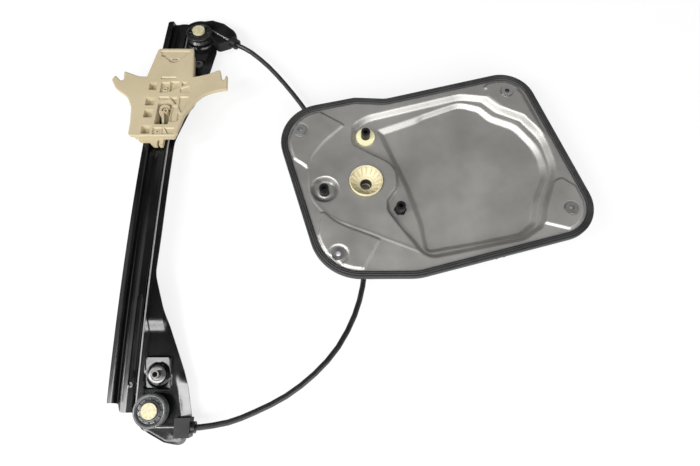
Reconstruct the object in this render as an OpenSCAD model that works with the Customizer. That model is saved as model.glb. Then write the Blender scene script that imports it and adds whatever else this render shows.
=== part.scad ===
// Window regulator for a rear side door, without its motor. A cable runs from a drum through two
// casings to both ends of a bowed guide rail and pulls the glass carrier along it. The drum sits
// behind a stamped panel that closes the opening in the door's inner skin.
// The origin is on the drum's axis, in the back face of its housing. +Z points out of the panel
// and +Y runs up the guide rail. Seen from +Z the rail is on the left.

/* [Guide rail] */
// Radius of the rail's bow, at the top of its web
bow_r = 1700; // [1500:50:2200]
// Height of the web's top at the crown of the bow
crown_z = 22.5; // [22.5:0.5:28]
// Y of the crown
crown_y = -8; // [-12:1:-4]
// X of the rail's left edge
rail_x = -240.5; // [-250:0.5:-238]
// Width of the guide flange that the carrier's shoes hold
flange_w = 6.5; // [5.5:0.1:7]
// Height of the guide flange above the web
flange_h = 5; // [4.5:0.1:5.5]
// Width of the web
web_w = 15; // [13:0.5:16]
// Width of the strip right of the web
strip_w = 6.5; // [5:0.5:8]
// Depth of the brackets and the strip below the web
bracket_drop = 3; // [2:0.1:3.5]
// Thickness of the rail's sheet steel
rail_t = 1.2; // [1:0.1:1.5]
// Length of rail from the crown up to the channel's end
rail_up = 241; // [236:1:246]
// Length of rail from the crown down to the channel's end
rail_down = 209; // [200:1:212]

/* [Pulleys and cable] */
// Diameter of the steel cable
cable_d = 1.5; // [1.2:0.1:1.8]
// Height of the cable above the web
cable_h = 4; // [3.8:0.1:4.4]
// Distance of both pulleys' axes from the rail's left edge
pulley_in = 41.5; // [40:0.5:43]
// Distance of the upper pulley from the crown along the rail
upper_pulley_s = 218; // [214:1:222]
// Distance of the lower pulley from the crown along the rail
lower_pulley_s = -215; // [-219:1:-211]
// Radius of the pulleys' flanges
pulley_r = 15.5; // [15:0.1:16.5]
// Radius of the pulleys at the bottom of the groove
groove_r = 13.2; // [12.6:0.1:13.6]
// Height of a pulley
pulley_h = 9; // [8:0.1:9.5]
// Radius of a pulley's bush
bush_r = 6; // [5:0.1:7]
// Radius of the bush's cap
cap_r = 7.3; // [6.8:0.1:9]
// Height of the upper bush's cap above the pulley
upper_cap_h = 3; // [1.5:0.1:4]
// Height of the lower bush's cap above the pulley
lower_cap_h = 1.5; // [1:0.1:4]
// Radius of the rivets that the pulleys turn on
axle_r = 2.5; // [2:0.1:3]
// Angle below +X at which the cable leaves the upper pulley
exit_angle = 36.87; // [35:0.1:39]
// Run of cable from the upper pulley to its casing
upper_exit_run = 40; // [39:0.5:42]
// Run of cable from the lower pulley to its casing
lower_exit_run = 34; // [33:0.5:36]

/* [Cable casings] */
// Outer diameter of the casings
conduit_d = 5.5; // [5:0.1:6]
// Depth by which a casing sits in its fitting
conduit_seat = 8; // [6:0.5:9]
// Gap round a casing in its fitting
conduit_gap = 0.4; // [0.35:0.05:0.6]
// Outer radius of the fittings round a casing
fitting_r = 6; // [5.5:0.1:7]

/* [Glass carrier] */
// Distance of the carrier's middle from the crown along the rail
carrier_s = 110; // [106:1:114]
// Height of the carrier's back plate above the web
plate_h = 7; // [6.8:0.1:7.6]
// Thickness of the back plate
plate_t = 2.5; // [2:0.1:3]
// Width of the slot that takes the glass
glass_gap = 4.8; // [4.4:0.1:5.2]
// Thickness of the front cheek
cheek_t = 2.7; // [2:0.1:3.2]
// Thickness of the carrier's face and hooked arms
face_t = 3; // [2.5:0.1:3.5]
// Depth of the square pockets in the carrier's face
pocket_depth = 6; // [4:0.5:7]
// Length of a guide shoe
shoe_l = 26; // [20:1:28]
// Distance of the guide shoes from the carrier's middle
shoe_s = 30; // [28:1:33]
// Gap between a shoe and the rail's flange
shoe_gap = 0.3; // [0.25:0.05:0.45]
// Length of the lock lever from its pin to its tip
lever_l = 26; // [22:1:27]
// Radius of the lock lever's pin
lever_pin_r = 1.6; // [1.3:0.1:1.8]

/* [Panel] */
// Height of the panel's rim face
flange_z = 36; // [35.5:0.5:38]
// Thickness of the panel's sheet
sheet_t = 1; // [0.8:0.1:1.2]
// Distance of the panel's left corner from the drum's axis
panel_left = 102.5; // [98:0.5:106]
// Distance of the panel's right corner from the drum's axis
panel_right = 240; // [237:0.5:248]
// Height of the panel's top corner over the drum's axis
panel_top = 138.5; // [136:0.5:146]
// Depth of the panel's bottom edge below the drum's axis
panel_bottom = 104; // [102:0.5:112]
// Depth of the drum recess
recess_depth = 6; // [5:0.5:6]
// Depth of the large pocket below the panel's rim face
pocket_floor = 11; // [9:0.5:13]
// Height of the raised corners
corner_lift = 2; // [1:0.1:2.5]
// Width of the seal
seal_w = 7; // [6:0.1:8]
// Height of the seal over the panel's face
seal_top = 2.5; // [2:0.1:4]
// Height of the seal under the panel's sheet
seal_under = 3; // [2:0.1:5]
// Width by which the seal grips the sheet
seal_grip = 4; // [3:0.1:5]

/* [Drum and housing] */
// Radius at which the cable lies on the drum
drum_r = 24.75; // [24:0.05:25.5]
// Height of the drum
drum_h = 16; // [15:0.5:17]
// Thickness of the housing's floor
floor_t = 3; // [2.5:0.1:3.5]
// Thickness of the housing's wall
wall_t = 3; // [2.5:0.1:4]
// Gap between the drum and its housing
drum_gap = 1; // [0.8:0.1:1.5]
// Radius of the drum's axle
drum_axle_r = 4; // [3:0.1:5]
// Angle by which the cable ports splay from the rail's direction
port_splay = 17; // [16.5:0.1:17.5]
// Length of a port from the cable's tangent point
port_l = 52; // [50:0.5:53]
// Outer radius of a port
port_r = 7; // [6.8:0.1:7.5]
// Bore radius of a port, round its spring
port_bore_r = 5.2; // [5:0.1:5.5]
// Turns of a tension spring
spring_turns = 6; // [4:1:8]

/* [Drive coupling] */
// Radius of the coupling's rim
coupling_r = 17.3; // [16:0.1:18]
// Height of the rim over the drum recess's floor
coupling_rise = 12; // [10:0.5:13]
// Radius of the coupling's neck in the panel's hole
neck_r = 12.5; // [11.5:0.1:13.5]
// Number of inner drive ribs
rib_n = 16; // [12:1:18]
// Radius of the coupling's middle bore
coupling_bore_r = 6; // [5.5:0.1:7]

/* [Fastenings] */
// Radius of the nuts' threaded bores
nut_bore_r = 2.5; // [2:0.1:3]
// Radius of the rail nuts' sleeves
sleeve_r = 3.6; // [3.4:0.1:4.4]
// Height of the lower rail nut over its boss
sleeve_h = 8; // [5:0.5:9]
// Radius of the panel nuts' barrels
barrel_r = 4.2; // [3.8:0.1:4.8]
// Radius of the panel nuts' heads
nut_head_r = 6.4; // [5.8:0.1:7]
// Radius of the motor sockets
socket_r = 4.8; // [4.2:0.1:5.4]
// Radius of the motor sockets' bores
socket_bore_r = 2.4; // [2:0.1:3]
// Height of the motor sockets over the drum recess's floor
socket_rise = 12; // [9:0.5:13]
// Radius of the locating washer
washer_r = 10; // [8.5:0.1:10.3]

/* [Hidden] */
$fn = 48;

// Fineness of the long bowed surfaces
bow_fn = 1440;
// Overlap of joined volumes
eps = 0.01;
// Running clearance of a shaft in its bore
run_gap = 0.05;

// Plan vectors
function unit(v) = v / norm(v);
function heading(a) = [cos(a), sin(a)];
// Points of the arc of radius r that rounds corner b between a and c
function corner_arc(a, b, c, r, n) =
    let (u = unit(a - b),
         v = unit(c - b),
         half = acos(u * v) / 2,
         run = r / tan(half),
         middle = b + unit(u + v) * r / sin(half),
         p = b + u * run - middle,
         q = b + v * run - middle,
         a0 = atan2(p.y, p.x),
         turn = atan2(p.x * q.y - p.y * q.x, p * q))
    [for (i = [0 : n]) middle + r * heading(a0 + turn * i / n)];
function plan(c) = [c.x, c.y];
// Outline of corners [x, y, radius], with n + 1 points on each arc
function rounded(corners, n = 6) =
    let (m = len(corners))
    [for (i = [0 : m - 1])
        each (corners[i].z == 0 ? [plan(corners[i])]
            : corner_arc(plan(corners[(i + m - 1) % m]), plan(corners[i]),
                         plan(corners[(i + 1) % m]), corners[i].z, n))];
// The same corners moved inwards by d, for a list that runs anticlockwise
function inset(corners, d) =
    let (m = len(corners))
    [for (i = [0 : m - 1])
        let (a = plan(corners[(i + m - 1) % m]),
             b = plan(corners[i]),
             c = plan(corners[(i + 1) % m]),
             e = unit(b - a),
             f = unit(c - b),
             n1 = [-e.y, e.x],
             n2 = [-f.y, f.x],
             p = b + (n1 + n2) * d / (1 + n1 * n2),
             convex = e.x * f.y - e.y * f.x > 0,
             r = corners[i].z)
        [p.x, p.y, r == 0 ? 0 : max(0.5, convex ? r - d : r + d)]];

// Tube of radius r along a list of points, with the given number of sides
module swept_tube(route, r, sides) {
    n = len(route);
    heads = [for (i = [0 : n - 1]) unit(route[min(i + 1, n - 1)] - route[max(i - 1, 0)])];
    rings = [for (i = [0 : n - 1])
             let (u = unit(cross(heads[i], [0, 0, 1])), v = cross(u, heads[i]))
             for (k = [0 : sides - 1])
             route[i] + r * (u * cos(360 * k / sides) + v * sin(360 * k / sides))];
    polyhedron(rings, [[for (k = [0 : sides - 1]) k],
                       for (i = [0 : n - 2])
                       for (k = [0 : sides - 1])
                       let (l = (k + 1) % sides)
                       each [[i * sides + k, (i + 1) * sides + k, (i + 1) * sides + l],
                             [i * sides + k, (i + 1) * sides + l, i * sides + l]],
                       [for (k = [sides - 1 : -1 : 0]) (n - 1) * sides + k]]);
}

// Angle of the bow for a length s along the rail
function bow_angle(s) = s / bow_r * 180 / PI;
// Sweeps a section, drawn as X across the rail and Y above the web, along the bow
module bow(s0, s1) {
    translate([0, crown_y, crown_z - bow_r])
        rotate([0, -90, 0])
            rotate([0, 0, bow_angle(s0)])
                rotate_extrude(angle = bow_angle(s1 - s0), $fn = bow_fn)
                    translate([bow_r, 0])
                        rotate(-90)
                            children();
}
// Places children at length s along the rail, Z square to the web
module at_rail(x, s, h = 0) {
    translate([x, crown_y, crown_z - bow_r])
        rotate([-bow_angle(s), 0, 0])
            translate([0, 0, bow_r + h])
                children();
}

// World position of a point that lies dx and dy from length s on the rail, at height h
function rail_point(x, s, h, dx, dy) =
    let (a = bow_angle(s), r = bow_r + h)
    [x + dx, crown_y + dy * cos(a) + r * sin(a), crown_z - bow_r - dy * sin(a) + r * cos(a)];

// Shared places of the rail's parts
cable_gap = 0.3;
wrap_r = groove_r + cable_d / 2 + cable_gap;
pulley_x = rail_x + pulley_in;
cable_x = pulley_x - wrap_r;
web_x = rail_x + flange_w + 1.4;
strip_x = web_x + web_w + 1.6;
strip_end = strip_x + strip_w;
bracket_under = -bracket_drop - rail_t;
pulley_base = cable_h - pulley_h / 2;
pulley_top = cable_h + pulley_h / 2;
boss_r = bush_r + 2.5;
lower_y = rail_point(0, lower_pulley_s, 0, 0, 0).y;
upper_y = rail_point(0, upper_pulley_s, 0, 0, 0).y;
lower_nut = [pulley_x + 2, lower_pulley_s + 32];
upper_nut = [pulley_x + 3, upper_pulley_s - 44];
lower_boss_h = 3;
upper_boss_h = 1.5;
lock_flat = 0.8;

// Outline of the rail's sheet seen from above: channel, strip, lower bracket and upper bracket
function by_lower(x, y, r) = [pulley_x + x, lower_y + y, r];
function by_upper(x, y, r) = [pulley_x + x, upper_y + y, r];
channel_top = rail_point(0, rail_up, 0, 0, 0).y;
channel_foot = rail_point(0, -rail_down, 0, 0, 0).y;
rail_outline = [[rail_x - 1, channel_top, 0], [rail_x - 1, channel_foot, 0],
                [rail_x + flange_w + 2, channel_foot, 0],
                [rail_x + flange_w + 4, channel_foot - 8, 3], [strip_x, lower_y - 2, 4],
                by_lower(-11, -16, 10), by_lower(12, -28, 12), by_lower(30, -31, 8),
                by_lower(37, -8, 24), by_lower(31, 22, 30), by_lower(20, 49, 60),
                by_lower(1, 94, 60), [strip_end, lower_y + 128, 40],
                [strip_end, upper_y - 152, 50], by_upper(16, -61, 50), by_upper(22, -26, 20),
                by_upper(20, 8, 14), by_upper(4, 20, 10), by_upper(-9, 25, 6),
                [strip_x - 0.6, upper_y + 25, 0], [strip_x - 0.6, channel_top, 0]];
module guide_rail() {
    sheet_end = pulley_x + 50;
    rail_section = [[rail_x, flange_h], [rail_x, flange_h - rail_t],
                    [rail_x + flange_w - rail_t, flange_h - rail_t],
                    [web_x - rail_t, -rail_t], [strip_x - rail_t, -rail_t],
                    [strip_x, bracket_under], [sheet_end, bracket_under],
                    [sheet_end, -bracket_drop], [strip_x, -bracket_drop],
                    [web_x + web_w, 0], [web_x, 0], [rail_x + flange_w, flange_h]];
    color("#17181a")
    difference() {
        union() {
            intersection() {
                bow(-270, 270)
                    polygon(rail_section);
                translate([0, 0, -20])
                    linear_extrude(crown_z + flange_h + 40)
                        polygon(rounded(rail_outline));
            }
            bow(-195, -110)
                polygon([[web_x + 8, -rail_t / 2], [web_x + 9.2, 1.6], [web_x + 12.3, 1.6],
                         [web_x + 13.5, -rail_t / 2]]);
            for (s = [lower_pulley_s, upper_pulley_s])
                at_rail(pulley_x, s, -bracket_drop - rail_t / 2)
                    cylinder(h = pulley_base + bracket_drop + rail_t / 2, r = boss_r);
            at_rail(lower_nut.x, lower_nut.y, -bracket_drop - rail_t / 2)
                cylinder(h = lower_boss_h + rail_t / 2, r1 = 9, r2 = 7);
            at_rail(upper_nut.x, upper_nut.y, -bracket_drop - rail_t / 2)
                cylinder(h = upper_boss_h + rail_t / 2, r1 = 7.5, r2 = 6.5);
        }
        for (s = [lower_pulley_s, upper_pulley_s])
            at_rail(pulley_x, s, -20)
                cylinder(h = 40, r = axle_r);
        for (p = [lower_nut, upper_nut])
            at_rail(p.x, p.y, -20)
                cylinder(h = 40, r = sleeve_r);
    }
}

// Rivet nut: sleeve through the sheet with a collar on its boss
module rail_nut(p, boss_top, rise) {
    color("#4a4b4d")
    at_rail(p.x, p.y, bracket_under - 1)
        difference() {
            union() {
                cylinder(h = 1, r = sleeve_r + 1.6);
                cylinder(h = 1 + rail_t + bracket_drop + boss_top + rise, r = sleeve_r);
                translate([0, 0, 1 + rail_t + bracket_drop + boss_top])
                    cylinder(h = 1, r = sleeve_r + 1.6);
            }
            translate([0, 0, -1])
                cylinder(h = 40, r = nut_bore_r);
        }
}
module upper_rail_nut() {
    rail_nut(upper_nut, upper_boss_h - bracket_drop, 1.5);
}
module lower_rail_nut() {
    rail_nut(lower_nut, lower_boss_h - bracket_drop, sleeve_h);
}

// Arm of the upper pulley: base, guard wall and socket for the casing
module upper_pulley_housing() {
    guard_r = pulley_r + 0.8;
    guard_t = 2;
    base_t = 1.6;
    floor_h = cable_h - 3;
    wall_h = pulley_top + 0.6;
    arm = [[8, 8, 0], [16, -10, 0], [24, -23, 5], [38, -17, 5], [47, -7, 4], [42, 1, 10],
           [29, 13, 8], [14, 19, 3], [4, 17, 0]];
    color("#1b1c1e")
    at_rail(pulley_x, upper_pulley_s)
        difference() {
            union() {
                translate([0, 0, -bracket_drop])
                    cylinder(h = base_t, r = guard_r + guard_t / 2);
                rotate([0, 0, -40])
                    rotate_extrude(angle = 185)
                        translate([guard_r - 1, -bracket_drop])
                            square([guard_t + 1, wall_h + bracket_drop - 0.5]);
                translate([0, 0, -bracket_drop])
                    linear_extrude(wall_h + bracket_drop)
                        polygon(rounded(arm));
                rotate([0, 0, -exit_angle])
                    translate([upper_exit_run - 8, wrap_r, cable_h])
                        rotate([0, 90, 0])
                            cylinder(h = conduit_seat + 8, r = fitting_r);
            }
            translate([0, 0, floor_h])
                linear_extrude(20)
                    polygon(rounded(inset(arm, 2)));
            translate([0, 0, -bracket_drop - 1])
                cylinder(h = base_t + 2, r = boss_r);
            translate([0, 0, base_t - bracket_drop])
                cylinder(h = 30, r = guard_r);
            rotate([0, 0, -exit_angle])
                translate([0, wrap_r - 2, cable_h - 2])
                    cube([upper_exit_run - 10, 4, 20]);
            rotate([0, 0, -exit_angle])
                translate([0, wrap_r, cable_h])
                    rotate([0, 90, 0]) {
                        cylinder(h = upper_exit_run + 1, r = 1.8);
                        translate([0, 0, upper_exit_run])
                            cylinder(h = conduit_seat + 10, r = conduit_d / 2 + conduit_gap);
                    }
        }
}

// Pulley with a groove for the cable
side_gap = 0.1;
module pulley(s) {
    lip = 1.2;
    half_land = 0.9;
    color("#232426")
    at_rail(pulley_x, s, pulley_base)
        rotate_extrude()
            polygon([[bush_r + run_gap, side_gap], [pulley_r, side_gap], [pulley_r, lip],
                     [groove_r, pulley_h / 2 - half_land], [groove_r, pulley_h / 2 + half_land],
                     [pulley_r, pulley_h - lip], [pulley_r, pulley_h - side_gap],
                     [bush_r + run_gap, pulley_h - side_gap]]);
}
module upper_pulley() {
    pulley(upper_pulley_s);
}
module lower_pulley() {
    pulley(lower_pulley_s);
}

// Bush that a pulley turns on, with the cap that shows
module pulley_bush(s, cap_h) {
    color("#e6dcae")
    at_rail(pulley_x, s, pulley_base)
        difference() {
            union() {
                cylinder(h = pulley_h, r = bush_r);
                translate([0, 0, pulley_h])
                    cylinder(h = cap_h, r = cap_r);
            }
            translate([0, 0, -1])
                cylinder(h = pulley_h + cap_h + 1 - lock_flat, r = axle_r);
        }
}
module upper_pulley_bush() {
    pulley_bush(upper_pulley_s, upper_cap_h);
}
module lower_pulley_bush() {
    pulley_bush(lower_pulley_s, lower_cap_h);
}

// Rivet through the sheet and the bush
module pulley_axle(s, cap_h) {
    head_t = 1.5;
    color("#8a8c8f")
    at_rail(pulley_x, s, bracket_under - head_t) {
        cylinder(h = head_t, r = axle_r + 2);
        cylinder(h = head_t - bracket_under + pulley_top + cap_h - lock_flat, r = axle_r);
    }
}
module upper_axle() {
    pulley_axle(upper_pulley_s, upper_cap_h);
}
module lower_axle() {
    pulley_axle(lower_pulley_s, lower_cap_h);
}

// Block on the bracket's edge that holds the lower casing
fitting_l = 14;
collar_l = 4;
module lower_conduit_fitting() {
    seat = lower_exit_run + conduit_seat;
    color("#1b1c1e")
    at_rail(pulley_x, lower_pulley_s)
        difference() {
            union() {
                translate([seat - collar_l - fitting_l, -wrap_r - 8.5, -bracket_drop])
                    cube([fitting_l, 17, cable_h + bracket_drop + fitting_r]);
                translate([seat - collar_l, -wrap_r, cable_h])
                    rotate([0, 90, 0])
                        cylinder(h = collar_l, r = fitting_r - 0.8);
            }
            translate([0, -wrap_r, cable_h])
                rotate([0, 90, 0]) {
                    cylinder(h = 60, r = 1.8);
                    translate([0, 0, lower_exit_run])
                        cylinder(h = 30, r = conduit_d / 2 + conduit_gap);
                }
        }
}

// Ferrule on the end of a casing, round the cable
ferrule_l = 11;
module ferrule(run) {
    color("#a9abad")
    translate([run - ferrule_l, 0, 0])
        rotate([0, 90, 0])
            difference() {
                cylinder(h = ferrule_l, r = 1.8);
                translate([0, 0, -1])
                    cylinder(h = ferrule_l + 2, r = cable_d / 2);
            }
}
module upper_ferrule() {
    at_rail(pulley_x, upper_pulley_s)
        rotate([0, 0, -exit_angle])
            translate([0, wrap_r, cable_h])
                ferrule(upper_exit_run);
}
module lower_ferrule() {
    at_rail(pulley_x, lower_pulley_s)
        translate([0, -wrap_r, cable_h])
            ferrule(lower_exit_run);
}

// Bare cable from the upper casing round both pulleys to the lower casing
function upper_exit(t) =
    rail_point(pulley_x, upper_pulley_s, cable_h,
               wrap_r * sin(exit_angle) + t * cos(exit_angle),
               wrap_r * cos(exit_angle) - t * sin(exit_angle));
function lower_exit(t) = rail_point(pulley_x, lower_pulley_s, cable_h, t, -wrap_r);
function wrapped(s, a0, a1, n) =
    [for (i = [0 : n])
        let (a = a0 + (a1 - a0) * i / n)
        rail_point(pulley_x, s, cable_h, wrap_r * cos(a), wrap_r * sin(a))];
module rail_cable() {
    length = upper_pulley_s - lower_pulley_s;
    steps = 14;
    color("#b9bbbc")
    swept_tube(concat([upper_exit(upper_exit_run)],
                      wrapped(upper_pulley_s, 90 - exit_angle, 180, 16),
                      [for (i = [1 : steps - 1])
                          rail_point(cable_x, upper_pulley_s - length * i / steps, cable_h, 0, 0)],
                      wrapped(lower_pulley_s, 180, 270, 12),
                      [lower_exit(lower_exit_run)]),
               cable_d / 2, 8);
}

// Carrier, drawn about the cable at its middle
plate_top = plate_h + plate_t;
cheek_h = plate_top + glass_gap;
face_h = cheek_h + cheek_t;
shoulder_y = 29;
tongue_outline = [[-32, shoulder_y - 3, 0], [20.8, shoulder_y - 3, 0], [16.3, 70.2, 3],
                  [-24.4, 70.2, 4]];
carrier_outline = [[10.2, -51.2, 2], [12.8, -48.5, 2], [14.2, -36, 30], [18.8, -19, 40],
                   [33, 2, 30], [48, 8.6, 40], [60.4, 10.8, 1], [59, 29.3, 1], [57.2, 30.6, 0.5],
                   [55.9, 24.6, 0], [53.2, 24.6, 0], [50.6, 36.2, 0.5], [48.8, 38.4, 0.5],
                   [38, 33, 60], [24, shoulder_y, 20], [-40, shoulder_y, 20], [-50, 33.4, 30],
                   [-58.2, 36.8, 0.8], [-56.8, 24.6, 1], [-60, 23.2, 2], [-67.4, 31, 1.5],
                   [-70.4, 25, 5], [-63.5, 12, 20], [-48.5, 0.5, 20], [-42, -13, 24],
                   [-39.6, -32, 60], [-38.8, -51.4, 4]];
// Back plate of the glass slot, and the deeper body behind the face
back_outline = [[-32, shoulder_y - 3, 0], [20.3, shoulder_y - 3, 0], [15.8, 66.4, 3],
                [-22.8, 66.4, 4]];
core_outline = [[8.5, -49.5, 2], [11.5, -38, 20], [15.5, -20, 20], [24, -6, 20],
                [29, shoulder_y - 1, 2], [-36, shoulder_y - 1, 2], [-38.5, -6, 20],
                [-35.5, -49.5, 3]];
lever_pin = [-4.1, -17];
lever_well = [[-12.8, -36, 1], [1.2, -36, 1], [2.4, -9, 1], [-2, -5.6, 3], [-12.6, -8, 3]];
pocket_w = 9.2;
module carrier_pockets() {
    deep = pocket_depth + 1;
    for (p = [[-23, 15], [-22.3, -6.6], [-21.7, -22.8], [-20.6, -44.2]])
        translate([p.x - pocket_w / 2, p.y - pocket_w / 2, face_h - pocket_depth])
            cube([pocket_w, pocket_w, deep]);
    for (cell = [[[-14.8, 6.8], [-4.5, 6.8], [-4.5, 20.2], [-14.8, 20.2]],
                 [[-2.9, 8.3], [5.8, 13.2], [5, 21.1], [-2.9, 20]],
                 [[10.4, 15.5], [14.7, 20.8], [9.2, 20.8]],
                 [[9.2, 6.8], [18.9, 6.8], [17.6, 16.7], [8.8, 12]],
                 [[-1.1, -0.6], [7, -9.7], [6.2, -0.6]],
                 [[10.6, -13.1], [13.2, -20], [17, -14], [20.5, -6], [19, 0.5], [9.6, 0.5]],
                 [[-12.9, -48.8], [-4.7, -48.8], [-4.7, -41.5], [-12.9, -41.5]],
                 [[2.9, -48.5], [7.4, -48.5], [7.2, -45], [0, -41.5]]])
        translate([0, 0, face_h - pocket_depth])
            linear_extrude(deep)
                polygon(cell);
    translate([0, 0, plate_top + 0.4])
        linear_extrude(20)
            polygon(rounded(lever_well));
}
module glass_carrier() {
    color("#d8c79c")
    at_rail(cable_x, carrier_s) {
        difference() {
            union() {
                translate([0, 0, face_h - face_t])
                    linear_extrude(face_t)
                        polygon(rounded(carrier_outline));
                translate([0, 0, plate_h])
                    linear_extrude(face_h - face_t / 2 - plate_h)
                        polygon(rounded(core_outline));
                translate([0, 0, plate_h])
                    linear_extrude(plate_t)
                        polygon(rounded(back_outline));
                translate([0, 0, cheek_h])
                    linear_extrude(cheek_t)
                        polygon(rounded(tongue_outline));
            }
            carrier_pockets();
            translate([-17.5, shoulder_y + 30.6, cheek_h - 1])
                cylinder(h = 2 * cheek_t, r = 1.7);
            translate([0, 0, cheek_h - 1])
                linear_extrude(2 * cheek_t)
                    polygon(rounded([for (c = [[-10, -2.3], [1.6, -2.3], [1.6, 2.3], [-10, 2.3]])
                                     [c.x, shoulder_y + 24 + c.y, 2.2]]));
        }
        for (p = [[-8.5, 12], [-8.8, -44.8]])
            translate([p.x, p.y, plate_top])
                difference() {
                    cylinder(h = face_h - plate_top - 1, r = 2.6);
                    translate([0, 0, 2])
                        cylinder(h = 20, r = 0.9);
                }
        translate([lever_pin.x, lever_pin.y, plate_top - eps])
            cylinder(h = face_h - plate_top - 0.6, r = lever_pin_r);
    }
}

// Lever that swings on a pin in the carrier's middle
module glass_lock_lever() {
    eye_r = lever_pin_r + 1.2;
    lever = [[-2, -1, 0], [-4.4, -1, 1], [-4.6, 2.6, 2], [-1.5, 5.4, 2], [3.4, 3.2, 0.6],
             [4.4, 5, 0.6], [-1.6, 8.6, 4], [-7, 6, 4], [-7.4, -2.6, 4], [-3.2, -9, 4],
             [-1.4, 1 - lever_l * 0.7, 1], [0.8, 1 - lever_l * 0.7, 1], [-0.6, -9, 4]];
    color("#e0d3ac")
    at_rail(cable_x, carrier_s)
        translate([lever_pin.x, lever_pin.y, plate_top + 0.7])
            difference() {
                union() {
                    cylinder(h = 5, r = eye_r);
                    linear_extrude(5)
                        polygon(rounded(lever));
                }
                translate([0, 0, -1])
                    cylinder(h = 10, r = lever_pin_r + run_gap);
            }
}

// Notched tab below the carrier that steadies it over the web
module carrier_end_guide() {
    under_h = flange_h + 0.4;
    rib_low = 2.2;
    tab = [[-31.3, -44, 0], [-31.3, -50, 2], [-28.8, -52.8, 2], [-18.5, -52.8, 3],
           [-14.8, -56.4, 1], [-10.4, -56.4, 0], [-10.4, -50, 0], [-8.2, -50, 0],
           [-8.2, -56.4, 0], [-4.6, -56.4, 0], [-3.8, -44, 0]];
    color("#cdbc92")
    at_rail(cable_x, carrier_s) {
        translate([0, 0, under_h])
            linear_extrude(plate_h - under_h)
                polygon(rounded(tab));
        translate([0, 0, rib_low])
            linear_extrude(under_h - rib_low + eps)
                intersection() {
                    polygon(rounded(tab));
                    translate([web_x - cable_x + 1, -70])
                        square([30, 40]);
                }
    }
}

// Cable ends, held against the carrier's back plate
nipple_l = 7;
module carrier_nipples() {
    nipple_r = plate_h - cable_h - 0.3;
    color("#9fa1a3")
    at_rail(cable_x, carrier_s, cable_h)
        for (y = [6, -6 - nipple_l])
            translate([0, y, 0])
                rotate([-90, 0, 0])
                    difference() {
                        cylinder(h = nipple_l, r = nipple_r);
                        translate([0, 0, -1])
                            cylinder(h = nipple_l + 2, r = cable_d / 2 + 0.4);
                    }
}

// Shoe that wraps the rail's guide flange, y from the carrier's middle
module glide(y) {
    claw = 4;
    reach = 12.5;
    low = 1.2;
    inner = rail_x + flange_w - rail_t - shoe_gap - 0.4;
    color("#ddd0a8")
    difference() {
        at_rail(rail_x, carrier_s, low)
            translate([-claw, y - shoe_l / 2, 0])
                cube([claw + reach, shoe_l, plate_h - low]);
        bow(carrier_s + y - shoe_l, carrier_s + y + shoe_l)
            polygon([[rail_x - shoe_gap, flange_h + shoe_gap],
                     [rail_x - shoe_gap, flange_h - rail_t - shoe_gap],
                     [inner, flange_h - rail_t - shoe_gap], [inner, -6], [rail_x + 30, -6],
                     [rail_x + 30, shoe_gap], [web_x + shoe_gap, shoe_gap],
                     [web_x + shoe_gap, flange_h + shoe_gap]]);
    }
}
module upper_glide() {
    glide(shoe_s);
}
module lower_glide() {
    glide(-shoe_s);
}

// Heights of the panel's faces
recess_z = flange_z - recess_depth;
pocket_z = flange_z - pocket_floor;
tray_z = flange_z + corner_lift;

// Outlines of the panel, from its seal inwards
panel_outline = [[-panel_left, 80.5, 45], [-43.5, -panel_bottom, 52], [50, 0.5 - panel_bottom, 60],
                 [panel_right, -53, 38], [174, panel_top, 36], [22, 99.5, 30], [-12, 101, 25]];
plate_outline = inset(panel_outline, seal_w - seal_grip);
tray_edge = inset(panel_outline, seal_w + 1.5);
recess_outline = inset([[57, -86, 20], [156, -65.5, 30], [178, -51, 16], [184, -28, 50],
                        [200, 14, 50], [192, 53, 50], [172, 80, 5], [146, 91, 14],
                        [131, 105, 12], [104, 108, 40], [0, 79.5, 40], [-15.5, 68, 10],
                        [-15.5, 43, 12], [30, 17.5, 20], [30.5, -5, 14], [20, -20, 10],
                        [20.5, -33, 12]], 2.5);
pocket_outline = inset([[57, -77.5, 8], [156, -60, 20], [172, -47, 14], [178, -20, 60],
                        [192, 12, 40], [188, 42, 60], [165, 73, 30], [139, 83, 14],
                        [127, 95, 14], [104, 101, 30], [10.5, 65, 3], [38, -2, 90],
                        [51, -44, 120]], 2.5);
dimple = [-42.5, -9, 14];
// Corner i of the panel under its seal, and a point on the way from corner i to corner j
tray_reach = inset(panel_outline, seal_w - 3);
function tray_corner(i) = [tray_reach[i].x, tray_reach[i].y, 0];
function tray_side(i, j, t) =
    [tray_reach[i].x + t * (tray_reach[j].x - tray_reach[i].x),
     tray_reach[i].y + t * (tray_reach[j].y - tray_reach[i].y), 0];
trays = [[tray_corner(0), tray_side(0, 1, 0.265), [-59.5, 12, 2], [-56, 26, 40],
          [-43, 45, 60], [-20.5, 66.5, 3], tray_side(0, 6, 0.5)],
         [[-46, -31, 3], tray_side(0, 1, 0.838), tray_corner(1), tray_side(1, 2, 0.4),
          [14.5, -63.5, 3], [-28, -46.5, 60]],
         [tray_side(2, 3, 0.87), tray_corner(3), tray_side(3, 4, 0.22), [202, 6, 3],
          [188, -28, 40], [180.5, -48, 2]],
         [tray_side(3, 4, 0.62), tray_corner(4), tray_side(4, 5, 0.22), [133, 112, 3],
          [148, 97, 10], [176, 84, 5]]];
module tray_shape(tray, d) {
    intersection() {
        polygon(rounded(inset(tray, d)));
        polygon(rounded(inset(tray_edge, d)));
    }
}
nut_places = [[-70, 59.5], [-28, -80], [156, 109], [206, -31]];
socket_places = [[-43, -10.5], [34.5, -30], [0, 55]];
drive_hole_r = coupling_r + 0.7;
module recess_shape(d) {
    polygon(rounded(inset(recess_outline, d)));
    translate([dimple.x, dimple.y])
        circle(dimple[2] - d);
}
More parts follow.
